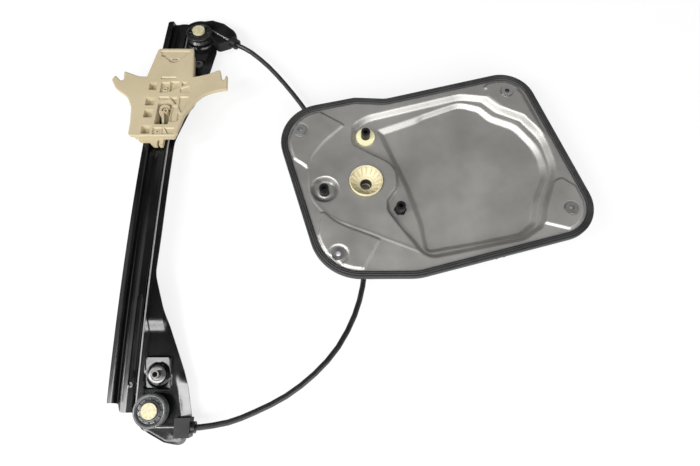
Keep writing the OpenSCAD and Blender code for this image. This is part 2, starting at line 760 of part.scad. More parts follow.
// Flat sheet whose top is at height z
module sheet_at(z) {
    translate([0, 0, z - sheet_t])
        linear_extrude(sheet_t)
            children();
}
module panel_plate() {
    color("#74787b")
    difference() {
        union() {
            sheet_at(flange_z)
                difference() {
                    polygon(rounded(plate_outline));
                    recess_shape(0);
                    for (tray = trays)
                        tray_shape(tray, sheet_t);
                }
            for (tray = trays) {
                sheet_at(tray_z)
                    tray_shape(tray, 0);
                translate([0, 0, flange_z - eps])
                    linear_extrude(corner_lift - sheet_t + 2 * eps)
                        difference() {
                            tray_shape(tray, 0);
                            tray_shape(tray, sheet_t);
                        }
            }
            translate([0, 0, recess_z - sheet_t])
                linear_extrude(recess_depth + sheet_t)
                    difference() {
                        recess_shape(0);
                        recess_shape(sheet_t);
                    }
            sheet_at(recess_z)
                difference() {
                    recess_shape(sheet_t / 2);
                    polygon(rounded(inset(pocket_outline, sheet_t / 2)));
                }
            translate([0, 0, pocket_z - sheet_t])
                linear_extrude(recess_z - pocket_z + sheet_t)
                    difference() {
                        polygon(rounded(pocket_outline));
                        polygon(rounded(inset(pocket_outline, sheet_t)));
                    }
            sheet_at(pocket_z)
                polygon(rounded(inset(pocket_outline, sheet_t / 2)));
            // Collar turned down round the drum's hole
            translate([0, 0, recess_z])
                cylinder(h = flange_z - sheet_t / 2 - recess_z, r = drive_hole_r + sheet_t);
        }
        cylinder(h = 60, r = drive_hole_r);
        for (p = socket_places)
            translate([p.x, p.y, 0])
                cylinder(h = 60, r = socket_r + 0.4);
        for (p = nut_places)
            translate([p.x, p.y, 0])
                cylinder(h = 60, r = barrel_r);
    }
}

// Rubber seal that grips the panel's edge
module panel_seal() {
    color("#2b2d2f")
    difference() {
        translate([0, 0, flange_z - sheet_t - seal_under])
            linear_extrude(seal_under + sheet_t + seal_top)
                difference() {
                    polygon(rounded(panel_outline));
                    polygon(rounded(inset(panel_outline, seal_w)));
                }
        sheet_at(flange_z)
            polygon(rounded(plate_outline));
    }
}

// Rivet nuts in the panel's raised corners
module panel_nuts() {
    head_t = 1.2;
    barrel_l = 8;
    color("#54565a")
    for (p = nut_places)
        translate([p.x, p.y, tray_z])
            difference() {
                union() {
                    cylinder(h = head_t, r = nut_head_r);
                    translate([0, 0, -barrel_l])
                        cylinder(h = barrel_l + head_t, r = barrel_r);
                }
                translate([0, 0, -barrel_l - 1])
                    cylinder(h = barrel_l + head_t + 2, r = nut_bore_r);
            }
}

// Hollow posts for the motor's screws
lug_z = recess_z - sheet_t - 9;
module motor_sockets() {
    base_r = 6.6;
    color("#202123")
    difference() {
        union() {
            for (p = socket_places)
                translate([p.x, p.y, lug_z])
                    cylinder(h = recess_z + socket_rise - lug_z, r = socket_r);
            translate([socket_places[1].x, socket_places[1].y, recess_z])
                cylinder(h = 2, r = base_r, $fn = 6);
        }
        for (p = socket_places)
            translate([p.x, p.y, lug_z - 1])
                cylinder(h = 60, r = socket_bore_r);
    }
}

// Washer that centres the motor on the top socket
module locating_washer() {
    washer_t = 2;
    color("#d9cfae")
    translate([socket_places[2].x, socket_places[2].y, recess_z])
        difference() {
            cylinder(h = washer_t, r = washer_r);
            translate([0, 0, -1])
                cylinder(h = washer_t + 2, r = socket_r);
        }
}

// Drum stack on the axle
drum_z = floor_t + 0.5;
drum_top = drum_z + drum_h;
flange_r = drum_r + cable_d / 2 + 1;
cup_r = flange_r + drum_gap;
port_z = drum_z + drum_h / 2;
turn_pitch = cable_d + 2;
nipple_r = 2;
nipple_h = 4;
nipple_ring_r = drum_r - 6;
module drive_coupling() {
    rim_z = recess_z + 0.8;
    rim_top = recess_z + coupling_rise;
    wall = 2.6;
    cup_floor = rim_z + 3;
    rib_depth = 1.8;
    color("#dccfa6")
    difference() {
        union() {
            translate([0, 0, drum_top])
                cylinder(h = rim_z - drum_top + eps, r = neck_r);
            difference() {
                translate([0, 0, rim_z])
                    cylinder(h = rim_top - rim_z, r = coupling_r);
                translate([0, 0, cup_floor])
                    cylinder(h = 20, r = coupling_r - wall);
            }
            for (i = [0 : rib_n - 1])
                rotate([0, 0, 360 * i / rib_n])
                    translate([coupling_r - wall - rib_depth, -0.7, cup_floor - eps])
                        cube([rib_depth + 0.5, 1.4, rim_top - cup_floor - 1.2]);
        }
        translate([0, 0, drum_top - 1])
            cylinder(h = 40, r = coupling_bore_r);
        translate([0, 0, cup_floor - 2])
            cylinder(h = 2 + eps, r1 = coupling_bore_r, r2 = coupling_bore_r + 3);
    }
}
module cable_drum() {
    seat_r = drum_r - cable_d / 2;
    color("#c9bd98")
    difference() {
        translate([0, 0, drum_z])
            cylinder(h = drum_h, r = flange_r);
        for (i = [-1.5 : 1.5])
            translate([0, 0, port_z + i * turn_pitch - cable_d / 2 - 0.2])
                difference() {
                    cylinder(h = cable_d + 0.4, r = flange_r + 1);
                    translate([0, 0, -1])
                        cylinder(h = cable_d + 3, r = seat_r);
                }
        translate([0, 0, drum_z - 1])
            cylinder(h = drum_h + 2, r = drum_axle_r + run_gap);
        for (side = [-1, 1])
            translate([side * nipple_ring_r, 0, drum_top - nipple_h])
                cylinder(h = nipple_h + 1, r = nipple_r);
    }
}
module drum_axle() {
    color("#8f9194")
    translate([0, 0, floor_t / 2])
        cylinder(h = drum_top - floor_t / 2, r = drum_axle_r);
}
module drum_cable() {
    color("#b5b7b8")
    for (i = [-1.5 : 1.5])
        translate([0, 0, port_z + i * turn_pitch])
            rotate_extrude()
                translate([drum_r, 0])
                    circle(d = cable_d, $fn = 24);
}
module drum_nipples() {
    color("#9a9c9e")
    for (side = [-1, 1])
        translate([side * nipple_ring_r, 0, drum_top - nipple_h])
            cylinder(h = nipple_h, r = nipple_r);
}

// Point at a distance along a cable port, on the line that touches the drum; side 1 is the upper port
function port_point(side, t) =
    [-drum_r * cos(port_splay) - t * sin(port_splay) * side,
     t * cos(port_splay) * side - drum_r * sin(port_splay), port_z];
// Places children at that point, Z along the port
module at_port(side, t) {
    translate(port_point(side, t))
        rotate([-90 * side, 0, port_splay])
            children();
}
spring_t = 25;
collar_t = port_l - 12;
sleeve_t = collar_t + 4;
sleeve_l = 16;
module drum_housing() {
    lug_r = socket_r + 2.7;
    arm_w = 11;
    color("#26282a")
    difference() {
        union() {
            cylinder(h = recess_z - sheet_t, r = cup_r + wall_t);
            for (side = [-1, 1])
                at_port(side, spring_t - 11)
                    cylinder(h = port_l - spring_t + 11, r = port_r);
            for (p = socket_places)
                translate([0, 0, lug_z]) {
                    translate([p.x, p.y, 0])
                        cylinder(h = recess_z - sheet_t - lug_z, r = lug_r);
                    rotate([0, 0, atan2(p.y, p.x)])
                        translate([cup_r + 1, -arm_w / 2, 1])
                            cube([norm(p) - cup_r - 1 - socket_r / 2, arm_w,
                                  recess_z - sheet_t - lug_z - 2]);
                }
        }
        translate([0, 0, floor_t])
            cylinder(h = 60, r = cup_r);
        translate([0, 0, floor_t / 2])
            cylinder(h = 60, r = drum_axle_r);
        for (side = [-1, 1]) {
            at_port(side, 8)
                cylinder(h = 20, r = cable_d);
            at_port(side, spring_t)
                cylinder(h = port_l, r = port_bore_r);
        }
        for (p = socket_places)
            translate([p.x, p.y, lug_z - 1])
                cylinder(h = 60, r = socket_r);
    }
}

// Bare cable between the drum and the casings
module cable_leads() {
    lead_t = sqrt(pow(flange_r + cable_d / 2 + cable_gap, 2) - pow(drum_r, 2));
    color("#b5b7b8")
    for (side = [-1, 1])
        at_port(side, lead_t)
            cylinder(h = sleeve_t - lead_t, d = cable_d);
}

// Sleeve that carries a casing in its port
module conduit_end(side) {
    color("#6f4b2e")
    at_port(side, collar_t)
        difference() {
            union() {
                cylinder(h = sleeve_t - collar_t, r = port_bore_r - 0.3);
                cylinder(h = sleeve_t - collar_t + sleeve_l, r = conduit_d / 2 + 1.3);
            }
            translate([0, 0, -1])
                cylinder(h = 40, r = cable_d);
            translate([0, 0, sleeve_t - collar_t])
                cylinder(h = 40, r = conduit_d / 2);
        }
}
module upper_conduit_end() {
    conduit_end(1);
}
module lower_conduit_end() {
    conduit_end(-1);
}

// Spring that pushes a sleeve outwards and keeps the cable taut
module tension_spring(side) {
    wire_r = 0.7;
    mean_r = port_bore_r - 0.3 - wire_r;
    steps = 13;
    length = collar_t - spring_t - 2 * wire_r;
    color("#85878a")
    at_port(side, spring_t + wire_r)
        swept_tube([for (i = [0 : spring_turns * steps])
                    [mean_r * cos(360 * i / steps), mean_r * sin(360 * i / steps),
                     length * i / steps / spring_turns]], wire_r, 8);
}
module upper_tension_spring() {
    tension_spring(1);
}
module lower_tension_spring() {
    tension_spring(-1);
}

// Points of a smooth curve through a list of points, two for each piece
function curve_point(a, b, c, d, t) =
    b + (c - a) * t / 2 + (a - 2.5 * b + 2 * c - d / 2) * t * t
    + (1.5 * (b - c) + (d - a) / 2) * t * t * t;
function curved(route, n = 2) =
    let (m = len(route) - 1)
    [for (i = [0 : m - 1])
        for (k = [0 : n - 1])
        curve_point(route[max(i - 1, 0)], route[i], route[i + 1], route[min(i + 2, m)], k / n),
     route[m]];
module upper_conduit() {
    run = upper_exit_run;
    color("#141516")
    swept_tube(curved([upper_exit(run), upper_exit(run + 6), upper_exit(run + 12),
                       [-134, 181, 15], [-112, 160, 15], [-92, 136, 14], [-73, 110, 13],
                       [-58, 86, 12], port_point(1, sleeve_t + sleeve_l + 8),
                       port_point(1, sleeve_t + sleeve_l), port_point(1, sleeve_t + 8),
                       port_point(1, sleeve_t)]),
               conduit_d / 2, 10);
}
module lower_conduit() {
    run = lower_exit_run;
    color("#141516")
    swept_tube(curved([lower_exit(run), lower_exit(run + 6), lower_exit(run + 12),
                       [-128, -233, 11], [-104, -224, 11], [-76, -210, 11], [-50, -190, 11],
                       [-28, -165, 11], [-12, -134, 11], [-4, -105, 11],
                       port_point(-1, sleeve_t + sleeve_l + 16),
                       port_point(-1, sleeve_t + sleeve_l + 8),
                       port_point(-1, sleeve_t + sleeve_l), port_point(-1, sleeve_t + 8),
                       port_point(-1, sleeve_t)]),
               conduit_d / 2, 10);
}

// Clip with two studs under the panel's lower edge
module harness_clip() {
    seal_base = flange_z - sheet_t - seal_under;
    color("#1d1e20")
    translate([134, -76.5, seal_base - 2])
        rotate([0, 0, 14.9]) {
            translate([-8, -3, 0])
                cube([16, 6, 2]);
            for (x = [-4, 4])
                translate([x, 0, -10])
                    cylinder(h = 10 + eps, r = 2);
        }
}

guide_rail();
upper_rail_nut();
lower_rail_nut();
upper_pulley_housing();
upper_pulley();
upper_pulley_bush();
upper_axle();
lower_pulley();
lower_pulley_bush();
lower_axle();
lower_conduit_fitting();
upper_ferrule();
lower_ferrule();
rail_cable();
glass_carrier();
glass_lock_lever();
carrier_end_guide();
carrier_nipples();
upper_glide();
lower_glide();
panel_plate();
panel_seal();
panel_nuts();
motor_sockets();
locating_washer();
drive_coupling();
cable_drum();
drum_axle();
drum_cable();
drum_nipples();
drum_housing();
cable_leads();
upper_conduit();
lower_conduit();
upper_conduit_end();
lower_conduit_end();
upper_tension_spring();
lower_tension_spring();
harness_clip();
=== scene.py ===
import bpy
import math
import numpy as np
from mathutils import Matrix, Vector


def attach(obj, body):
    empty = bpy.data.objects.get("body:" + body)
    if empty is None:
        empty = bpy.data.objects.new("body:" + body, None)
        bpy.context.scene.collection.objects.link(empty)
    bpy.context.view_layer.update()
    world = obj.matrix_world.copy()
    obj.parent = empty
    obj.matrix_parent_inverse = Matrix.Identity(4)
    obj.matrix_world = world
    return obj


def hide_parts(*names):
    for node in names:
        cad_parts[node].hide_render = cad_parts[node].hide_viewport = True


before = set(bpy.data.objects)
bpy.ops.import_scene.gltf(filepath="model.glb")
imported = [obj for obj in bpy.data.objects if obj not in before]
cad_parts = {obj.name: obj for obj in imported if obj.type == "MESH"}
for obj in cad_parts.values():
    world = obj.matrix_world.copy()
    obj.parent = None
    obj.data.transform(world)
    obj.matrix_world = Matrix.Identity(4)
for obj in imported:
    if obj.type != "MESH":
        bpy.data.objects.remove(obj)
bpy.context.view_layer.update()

# The view: the regulator lies flat and is seen from above its lower edge, leaning 21 degrees,
# so the panel looks narrower towards its top and the left rail leans outwards.
camera = bpy.data.cameras.new("bench_camera")
camera.lens = 26.74
camera.sensor_width = 36
camera_object = bpy.data.objects.new("bench_camera", camera)
camera_object.location = (-0.0166, -0.2416, 0.516)
camera_object.rotation_euler = (math.radians(21), 0, 0)
bpy.context.scene.collection.objects.link(camera_object)
bpy.context.scene.camera = camera_object
bpy.context.scene.view_settings.view_transform = "Standard"

# Bench: a white board under the part, a dim room round it and soft boxes over it. Board and
# room show white to the camera alone, and the board takes a faint shadow of the part.
def new_material(name):
    material = bpy.data.materials.new(name)
    material.use_nodes = True
    tree = material.node_tree
    return material, tree.nodes, tree.links, tree.nodes["Principled BSDF"]


bench_half = 4
bench_corners = [(-bench_half, -bench_half, 0), (bench_half, -bench_half, 0),
                 (bench_half, bench_half, 0), (-bench_half, bench_half, 0)]
board_mesh = bpy.data.meshes.new("bench_board")
board_mesh.from_pydata(bench_corners, [], [(0, 1, 2, 3)])
board = bpy.data.objects.new("bench_board", board_mesh)
bpy.context.scene.collection.objects.link(board)
board_white, nodes, links, shader = new_material("bench_white")
shader.inputs["Base Color"].default_value = (0.86, 0.86, 0.86, 1)
shader.inputs["Roughness"].default_value = 0.9
glow = nodes.new("ShaderNodeEmission")
glow.inputs["Strength"].default_value = 1
lit = nodes.new("ShaderNodeMixShader")
lit.inputs["Fac"].default_value = 0.8
links.new(shader.outputs[0], lit.inputs[1])
links.new(glow.outputs[0], lit.inputs[2])
path = nodes.new("ShaderNodeLightPath")
seen = nodes.new("ShaderNodeMath")
seen.operation = "MAXIMUM"
links.new(path.outputs["Is Camera Ray"], seen.inputs[0])
links.new(path.outputs["Is Transmission Ray"], seen.inputs[1])
pick = nodes.new("ShaderNodeMixShader")
links.new(seen.outputs[0], pick.inputs["Fac"])
links.new(shader.outputs[0], pick.inputs[1])
links.new(lit.outputs[0], pick.inputs[2])
links.new(pick.outputs[0], nodes["Material Output"].inputs["Surface"])
board_mesh.materials.append(board_white)

world = bpy.data.worlds.new("bench_room")
bpy.context.scene.world = world
world.use_nodes = True
room = world.node_tree
dim = room.nodes["Background"]
dim.inputs["Color"].default_value = (0.55, 0.56, 0.58, 1)
dim.inputs["Strength"].default_value = 0.14
white = room.nodes.new("ShaderNodeBackground")
white.inputs["Strength"].default_value = 1
path = room.nodes.new("ShaderNodeLightPath")
pick = room.nodes.new("ShaderNodeMixShader")
room.links.new(path.outputs["Is Camera Ray"], pick.inputs["Fac"])
room.links.new(dim.outputs[0], pick.inputs[1])
room.links.new(white.outputs[0], pick.inputs[2])
room.links.new(pick.outputs[0], room.nodes["World Output"].inputs["Surface"])


def soft_box(name, place, aim, width, height, power):
    lamp = bpy.data.lights.new(name, "AREA")
    lamp.shape = "RECTANGLE"
    lamp.size = width
    lamp.size_y = height
    lamp.energy = power
    holder = bpy.data.objects.new(name, lamp)
    holder.location = place
    holder.rotation_euler = (Vector(aim) - Vector(place)).to_track_quat("-Z", "Y").to_euler()
    bpy.context.scene.collection.objects.link(holder)


soft_box("front_box", (0.25, -1.6, 1.25), (0, 0, 0), 2.4, 1.1, 52)
soft_box("back_fill", (0.25, 1.15, 1.5), (0, 0, 0), 2.2, 1.0, 4)
soft_box("right_box", (1.7, -0.1, 1.0), (0, 0, 0), 1.0, 1.6, 5)
soft_box("left_box", (-1.8, 0.1, 1.0), (0, 0, 0), 1.0, 1.6, 4)
soft_box("left_strip", (-1.6, -0.66, 1.4), (-0.2, -0.2, 0), 0.45, 1.2, 34)
soft_box("front_strip", (-0.73, -0.97, 1.25), (-0.2, -0.19, 0), 0.45, 0.4, 8)

# Guide rail: 1.2 mm steel strip pressed to a channel that is bowed along its length, with a
# guide flange on the left and a wide bracket at each end. It is dipped in satin black paint.
MM = 0.001
bow_r, crown_y, crown_z = 1700.0, -8.0, 22.5
rail_x, web_x, strip_x, strip_end = -240.5, -232.6, -216.0, -209.5
pulley_x, cable_x = -199.0, -213.25
lower_y, upper_y = -222.43, 209.40
rail_t = 1.2
upper_pulley_s, lower_pulley_s = 218, -215
upper_nut_s, lower_nut_s = 174, -183
channel_top_s, channel_foot_s = 241, -209
rail_hole_r = 3.6
ridge_rise, joggle_rise, seat_rise = 1.5, 3.8, 2.3
lower_lip_rise, upper_lip_rise, foot_drop = 2.6, 1.6, 0.55
pad_slope, pad_drop = 0.24, 0.2


def at_rail(x, s, h):
    """Places points, in mm: x across the rail, s along it and h over its web."""
    a = s / bow_r
    r = bow_r + h
    return x, crown_y + r * np.sin(a), crown_z - bow_r + r * np.cos(a)


def rounded(corners, n=6):
    """Outline of corners (x, y, radius), with n + 1 points on each arc."""
    points, m = [], len(corners)
    for i in range(m):
        b = np.array(corners[i][:2], float)
        if not corners[i][2]:
            points.append(b)
            continue
        u = np.array(corners[i - 1][:2], float) - b
        v = np.array(corners[(i + 1) % m][:2], float) - b
        u, v = u / np.linalg.norm(u), v / np.linalg.norm(v)
        half = math.acos(np.clip(u @ v, -1, 1)) / 2
        run = corners[i][2] / math.tan(half)
        middle = b + (u + v) / np.linalg.norm(u + v) * corners[i][2] / math.sin(half)
        p, q = b + u * run - middle, b + v * run - middle
        start = math.atan2(p[1], p[0])
        turn = math.atan2(p[0] * q[1] - p[1] * q[0], p @ q)
        for k in range(n + 1):
            a = start + turn * k / n
            points.append(middle + corners[i][2] * np.array([math.cos(a), math.sin(a)]))
    return np.array(points)


def inset(corners, d):
    """The same corners moved inwards by d, for a list that runs anticlockwise."""
    moved, m = [], len(corners)
    for i in range(m):
        a, b, c = (np.array(corners[k % m][:2], float) for k in (i - 1, i, i + 1))
        e, f = (b - a) / np.linalg.norm(b - a), (c - b) / np.linalg.norm(c - b)
        n1, n2 = np.array([-e[1], e[0]]), np.array([-f[1], f[0]])
        p = b + (n1 + n2) * d / (1 + n1 @ n2)
        convex = e[0] * f[1] - e[1] * f[0] > 0
        r = corners[i][2]
        moved.append((p[0], p[1], 0 if r == 0 else max(0.5, r - d if convex else r + d)))
    return moved


def depth_in(outline):
    """Function that gives how far points lie inside an outline, negative outside."""
    a = np.asarray(outline, float)
    b = np.roll(a, -1, 0)
    keep = np.linalg.norm(b - a, axis=1) > 1e-9
    a, b = a[keep], b[keep]

    def depth(x, y):
        nearest = np.full(np.shape(x), 1e18)
        inside = np.zeros(np.shape(x), bool)
        for (ax, ay), (bx, by) in zip(a, b):
            ex, ey = bx - ax, by - ay
            t = np.clip(((x - ax) * ex + (y - ay) * ey) / (ex * ex + ey * ey), 0, 1)
            nearest = np.minimum(nearest, (x - ax - t * ex) ** 2 + (y - ay - t * ey) ** 2)
            if ay != by:
                inside ^= ((ay > y) != (by > y)) & (x < ax + (y - ay) * ex / ey)
        return np.where(inside, 1, -1) * np.sqrt(nearest)

    return depth


def ease(d, width):
    """0 at or before d = 0, 1 from d = width on, smooth between."""
    t = np.clip(d / width, 0, 1)
    return t * t * (3 - 2 * t)


def pressed_sheet(name, depth, xs, ys, top, under, place, sharp=40):
    """Sheet cut along depth = 0 on the grid xs, ys, between the heights top and under."""
    x, y = np.meshgrid(xs, ys, indexing="ij")
    d = depth(x, y)
    e = 1e-4
    gx = (depth(x + e, y) - depth(x - e, y)) / (2 * e)
    gy = (depth(x, y + e) - depth(x, y - e)) / (2 * e)
    long = np.maximum(np.hypot(gx, gy), 1e-6)
    gx, gy = gx / long, gy / long
    reach = 0.5 * (np.abs(gx) * np.gradient(xs)[:, None] + np.abs(gy) * np.gradient(ys)[None, :])
    near = np.abs(d) < reach
    x, y = np.where(near, x - d * gx, x), np.where(near, y - d * gy, y)
    good = d > -reach
    number = -np.ones(x.shape, int)
    number[good] = np.arange(good.sum())
    a, b, c, f = number[:-1, :-1], number[1:, :-1], number[1:, 1:], number[:-1, 1:]
    count = (a >= 0).astype(int) + (b >= 0) + (c >= 0) + (f >= 0)
    faces = [tuple(q) for q in np.stack([a, b, c, f], -1)[count == 4]]
    for q in np.stack([a, b, c, f], -1)[count == 3]:
        faces.append(tuple(v for v in q if v >= 0))
    x, y = x[good], y[good]
    total = len(x)
    high = np.stack(place(x, y, top(x, y)), -1)
    low = np.stack(place(x, y, under(x, y)), -1)
    rim = {}
    for face in faces:
        for p, q in zip(face, face[1:] + face[:1]):
            if (q, p) in rim:
                del rim[(q, p)]
            else:
                rim[(p, q)] = True
    both = faces + [tuple(v + total for v in reversed(face)) for face in faces]
    both += [(q, p, p + total, q + total) for p, q in rim]
    mesh = bpy.data.meshes.new(name)
    mesh.from_pydata((np.concatenate([high, low]) * MM).tolist(), [], both)
    mesh.validate()
    mesh.shade_smooth()
    mesh.set_sharp_from_angle(angle=math.radians(sharp))
    piece = bpy.data.objects.new(name, mesh)
    bpy.context.scene.collection.objects.link(piece)
    return piece


def spaced(stops, step):
    """Grid lines through every stop, about step apart."""
    lines = [stops[0]]
    for p, q in zip(stops, stops[1:]):
        n = max(1, round((q - p) / step))
        lines += [p + (q - p) * k / n for k in range(1, n + 1)]
    return np.array(lines)


def rail_lower(x, y, r):
    return (pulley_x + x, lower_y + y, r)


def rail_upper(x, y, r):
    return (pulley_x + x, upper_y + y, r)


channel_top = float(at_rail(0, channel_top_s, 0)[1])
channel_foot = float(at_rail(0, channel_foot_s, 0)[1])
rail_outline = [
    (rail_x, channel_top, 1), (rail_x, channel_foot, 1), (rail_x + 8.5, channel_foot, 0),
    (rail_x + 10.5, channel_foot - 8, 3), (strip_x, lower_y - 2, 4),
    rail_lower(-11, -16, 10), rail_lower(12, -28, 12), rail_lower(30, -31, 8),
    rail_lower(37, -8, 24), rail_lower(31, 22, 30), rail_lower(20, 49, 60),
    rail_lower(1, 94, 60), (strip_end, lower_y + 128, 40), (strip_end, upper_y - 152, 50),
    rail_upper(16, -61, 50), rail_upper(22, -26, 20), rail_upper(20, 8, 14),
    rail_upper(4, 20, 10), rail_upper(-9, 25, 6), (strip_x - 0.6, upper_y + 25, 0),
    (strip_x - 0.6, channel_top, 1)]
rail_depth = depth_in(rounded(rail_outline, 8))
lower_nut = (-197.0, float(at_rail(0, lower_nut_s, 0)[1]))
upper_nut = (-196.0, float(at_rail(0, upper_nut_s, 0)[1]))
pad_left, pad_right = lower_nut[0] - 13, lower_nut[0] + 11.5
pad_foot, pad_head = lower_nut[1] - 12.5, lower_nut[1] + 16.5
pad_depth = depth_in(rounded([(pad_left, pad_foot, 3), (pad_right, pad_foot, 3),
                              (pad_right, pad_head, 3), (pad_left, pad_head, 3)]))


def rail_section(x):
    """Height of the pressed section over the web."""
    return np.interp(x, [rail_x, rail_x + 0.5, rail_x + 4.2, rail_x + 5.4, rail_x + 6.2,
                         rail_x + 6.8, web_x - 0.3, web_x + 0.4, web_x + 3.4, web_x + 4,
                         web_x + 8.6, web_x + 14.6, web_x + 15.2, strip_x - 0.2, strip_x + 0.5],
                     [3.8, 4.0, 5.0, 5.0, 5.0, 4.6, -0.4, -1.0, -1.0, -0.9, 0.2, 0.0, -0.35,
                      -2.7, -3.0])


def rail_top(x, y):
    h = rail_section(x)
    ridge = ease(np.minimum(x - web_x - 8.6, web_x + 13.9 - x), 1.4)
    ridge *= ease(np.minimum(y + 202.5, -114 - y), 5)
    h = h + ridge_rise * ridge
    bracket = ease(x - strip_x - 0.4, 0.5)
    edge = rail_depth(x, y)
    lip = np.clip(1 - edge / 10, 0, 1)
    lower_lip = ease(-186 - y, 14) * ease(x - pulley_x - 14, 10) * ease(y + 252, 10)
    foot = ease(-226 - y, 10) * ease(x - strip_x - 6, 8) * (1 - ease(edge, 2.2))
    upper_lip = ease(y - 160, 20) * ease(x - pulley_x - 6, 8)
    raised = lip * (lower_lip_rise * lower_lip + upper_lip_rise * upper_lip)
    h = h + bracket * (raised - foot_drop * foot)
    under_cable = ease(y + 152, 14) * ease(-44 - y, 80) * ease(-189 - x, 8)
    h = h + joggle_rise * bracket * under_cable
    pad = ease(pad_depth(x, y) + 0.6, 1.4)
    flat = ease(np.hypot(x - lower_nut[0], y - lower_nut[1]) - 10, 1.4)
    h = h + bracket * pad * flat * (pad_slope * (y - lower_nut[1]) - pad_drop)
    for cx, cy, r0, r1, rise in ((*lower_nut, 8.4, 6.8, 4.1), (*upper_nut, 8.2, 6.3, 1.5)):
        near = np.hypot(x - cx, y - cy)
        h = h + bracket * rise * ease(r0 - near, r0 - r1)
    for cy, r0, r1 in ((lower_y, 10.2, 8.4), (upper_y, 19.4, 17.6)):
        near = np.hypot(x - pulley_x, y - cy)
        h = h + bracket * seat_rise * ease(r0 - near, r0 - r1)
    return h


def rail_place(x, y, h):
    r = bow_r + h
    return x, y, crown_z - bow_r + np.sqrt(r * r - (y - crown_y) ** 2)


def rail_cut(x, y):
    d = rail_depth(x, y)
    for cx, cy in (lower_nut, upper_nut):
        d = np.minimum(d, np.hypot(x - cx, y - cy) - rail_hole_r)
    return d


rail_lines = spaced([rail_x, rail_x + 0.5, rail_x + 4.2, rail_x + 5.4, rail_x + 6.2, rail_x + 6.8,
                     web_x - 0.3, web_x + 0.4, web_x + 3.4, web_x + 4, web_x + 8.6, web_x + 10,
                     web_x + 12.5, web_x + 13.9, web_x + 14.6, web_x + 15.2, strip_x - 0.2,
                     strip_x + 0.5, strip_x + 1.2, pulley_x + 38], 0.8)
rail = pressed_sheet("rail_pressing", rail_cut, rail_lines,
                     np.linspace(lower_y - 31.6, channel_top, 600),
                     rail_top, lambda x, y: rail_top(x, y) - rail_t, rail_place)
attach(rail, "frame")
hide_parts("guide_rail")


def add_socket(group, side, kind, name, value=None):
    socket = group.interface.new_socket(name, in_out=side, socket_type="NodeSocket" + kind)
    if value is not None:
        socket.default_value = value
    return socket


# Fine grain: the small unevenness that a moulded, rolled or painted face keeps. Every finish
# takes it with its own scale and depth.
fine_grain = bpy.data.node_groups.new("fine_grain", "ShaderNodeTree")
add_socket(fine_grain, "INPUT", "Float", "Scale", 900)
add_socket(fine_grain, "INPUT", "Float", "Depth", 0.00002)
add_socket(fine_grain, "INPUT", "Vector", "Stretch", (1, 1, 1))
add_socket(fine_grain, "OUTPUT", "Vector", "Normal")
nodes, links = fine_grain.nodes, fine_grain.links
given, taken = nodes.new("NodeGroupInput"), nodes.new("NodeGroupOutput")
spot = nodes.new("ShaderNodeTexCoord")
stretch = nodes.new("ShaderNodeVectorMath")
stretch.operation = "MULTIPLY"
links.new(spot.outputs["Object"], stretch.inputs[0])
links.new(given.outputs["Stretch"], stretch.inputs[1])
grain = nodes.new("ShaderNodeTexNoise")
grain.inputs["Detail"].default_value = 4
grain.inputs["Roughness"].default_value = 0.6
links.new(stretch.outputs[0], grain.inputs["Vector"])
links.new(given.outputs["Scale"], grain.inputs["Scale"])
bump = nodes.new("ShaderNodeBump")
bump.inputs["Strength"].default_value = 1
links.new(given.outputs["Depth"], bump.inputs["Distance"])
links.new(grain.outputs["Fac"], bump.inputs["Height"])
links.new(bump.outputs["Normal"], taken.inputs["Normal"])

# Handling marks: soft stains and rubbed patches that change the colour and the gloss of a
# finish from place to place.
handling_marks = bpy.data.node_groups.new("handling_marks", "ShaderNodeTree")
add_socket(handling_marks, "INPUT", "Color", "Finish", (0.5, 0.5, 0.5, 1))
add_socket(handling_marks, "INPUT", "Color", "Rubbed", (0.6, 0.6, 0.6, 1))
add_socket(handling_marks, "INPUT", "Float", "Rough", 0.4)
add_socket(handling_marks, "INPUT", "Float", "Rough change", 0.1)
add_socket(handling_marks, "INPUT", "Float", "Scale", 30)
add_socket(handling_marks, "OUTPUT", "Color", "Colour")
add_socket(handling_marks, "OUTPUT", "Float", "Roughness")
nodes, links = handling_marks.nodes, handling_marks.links
given, taken = nodes.new("NodeGroupInput"), nodes.new("NodeGroupOutput")
spot = nodes.new("ShaderNodeTexCoord")
stain = nodes.new("ShaderNodeTexNoise")
stain.inputs["Detail"].default_value = 5
stain.inputs["Roughness"].default_value = 0.62
links.new(spot.outputs["Object"], stain.inputs["Vector"])
links.new(given.outputs["Scale"], stain.inputs["Scale"])
spread = nodes.new("ShaderNodeMapRange")
spread.inputs["From Min"].default_value = 0.35
spread.inputs["From Max"].default_value = 0.7
links.new(stain.outputs["Fac"], spread.inputs["Value"])
blend = nodes.new("ShaderNodeMix")
blend.data_type = "RGBA"
links.new(spread.outputs[0], blend.inputs["Factor"])
links.new(given.outputs["Finish"], blend.inputs["A"])
links.new(given.outputs["Rubbed"], blend.inputs["B"])
links.new(blend.outputs["Result"], taken.inputs["Colour"])
change = nodes.new("ShaderNodeMath")
change.operation = "MULTIPLY_ADD"
links.new(spread.outputs[0], change.inputs[0])
links.new(given.outputs["Rough change"], change.inputs[1])
links.new(given.outputs["Rough"], change.inputs[2])
links.new(change.outputs[0], taken.inputs["Roughness"])


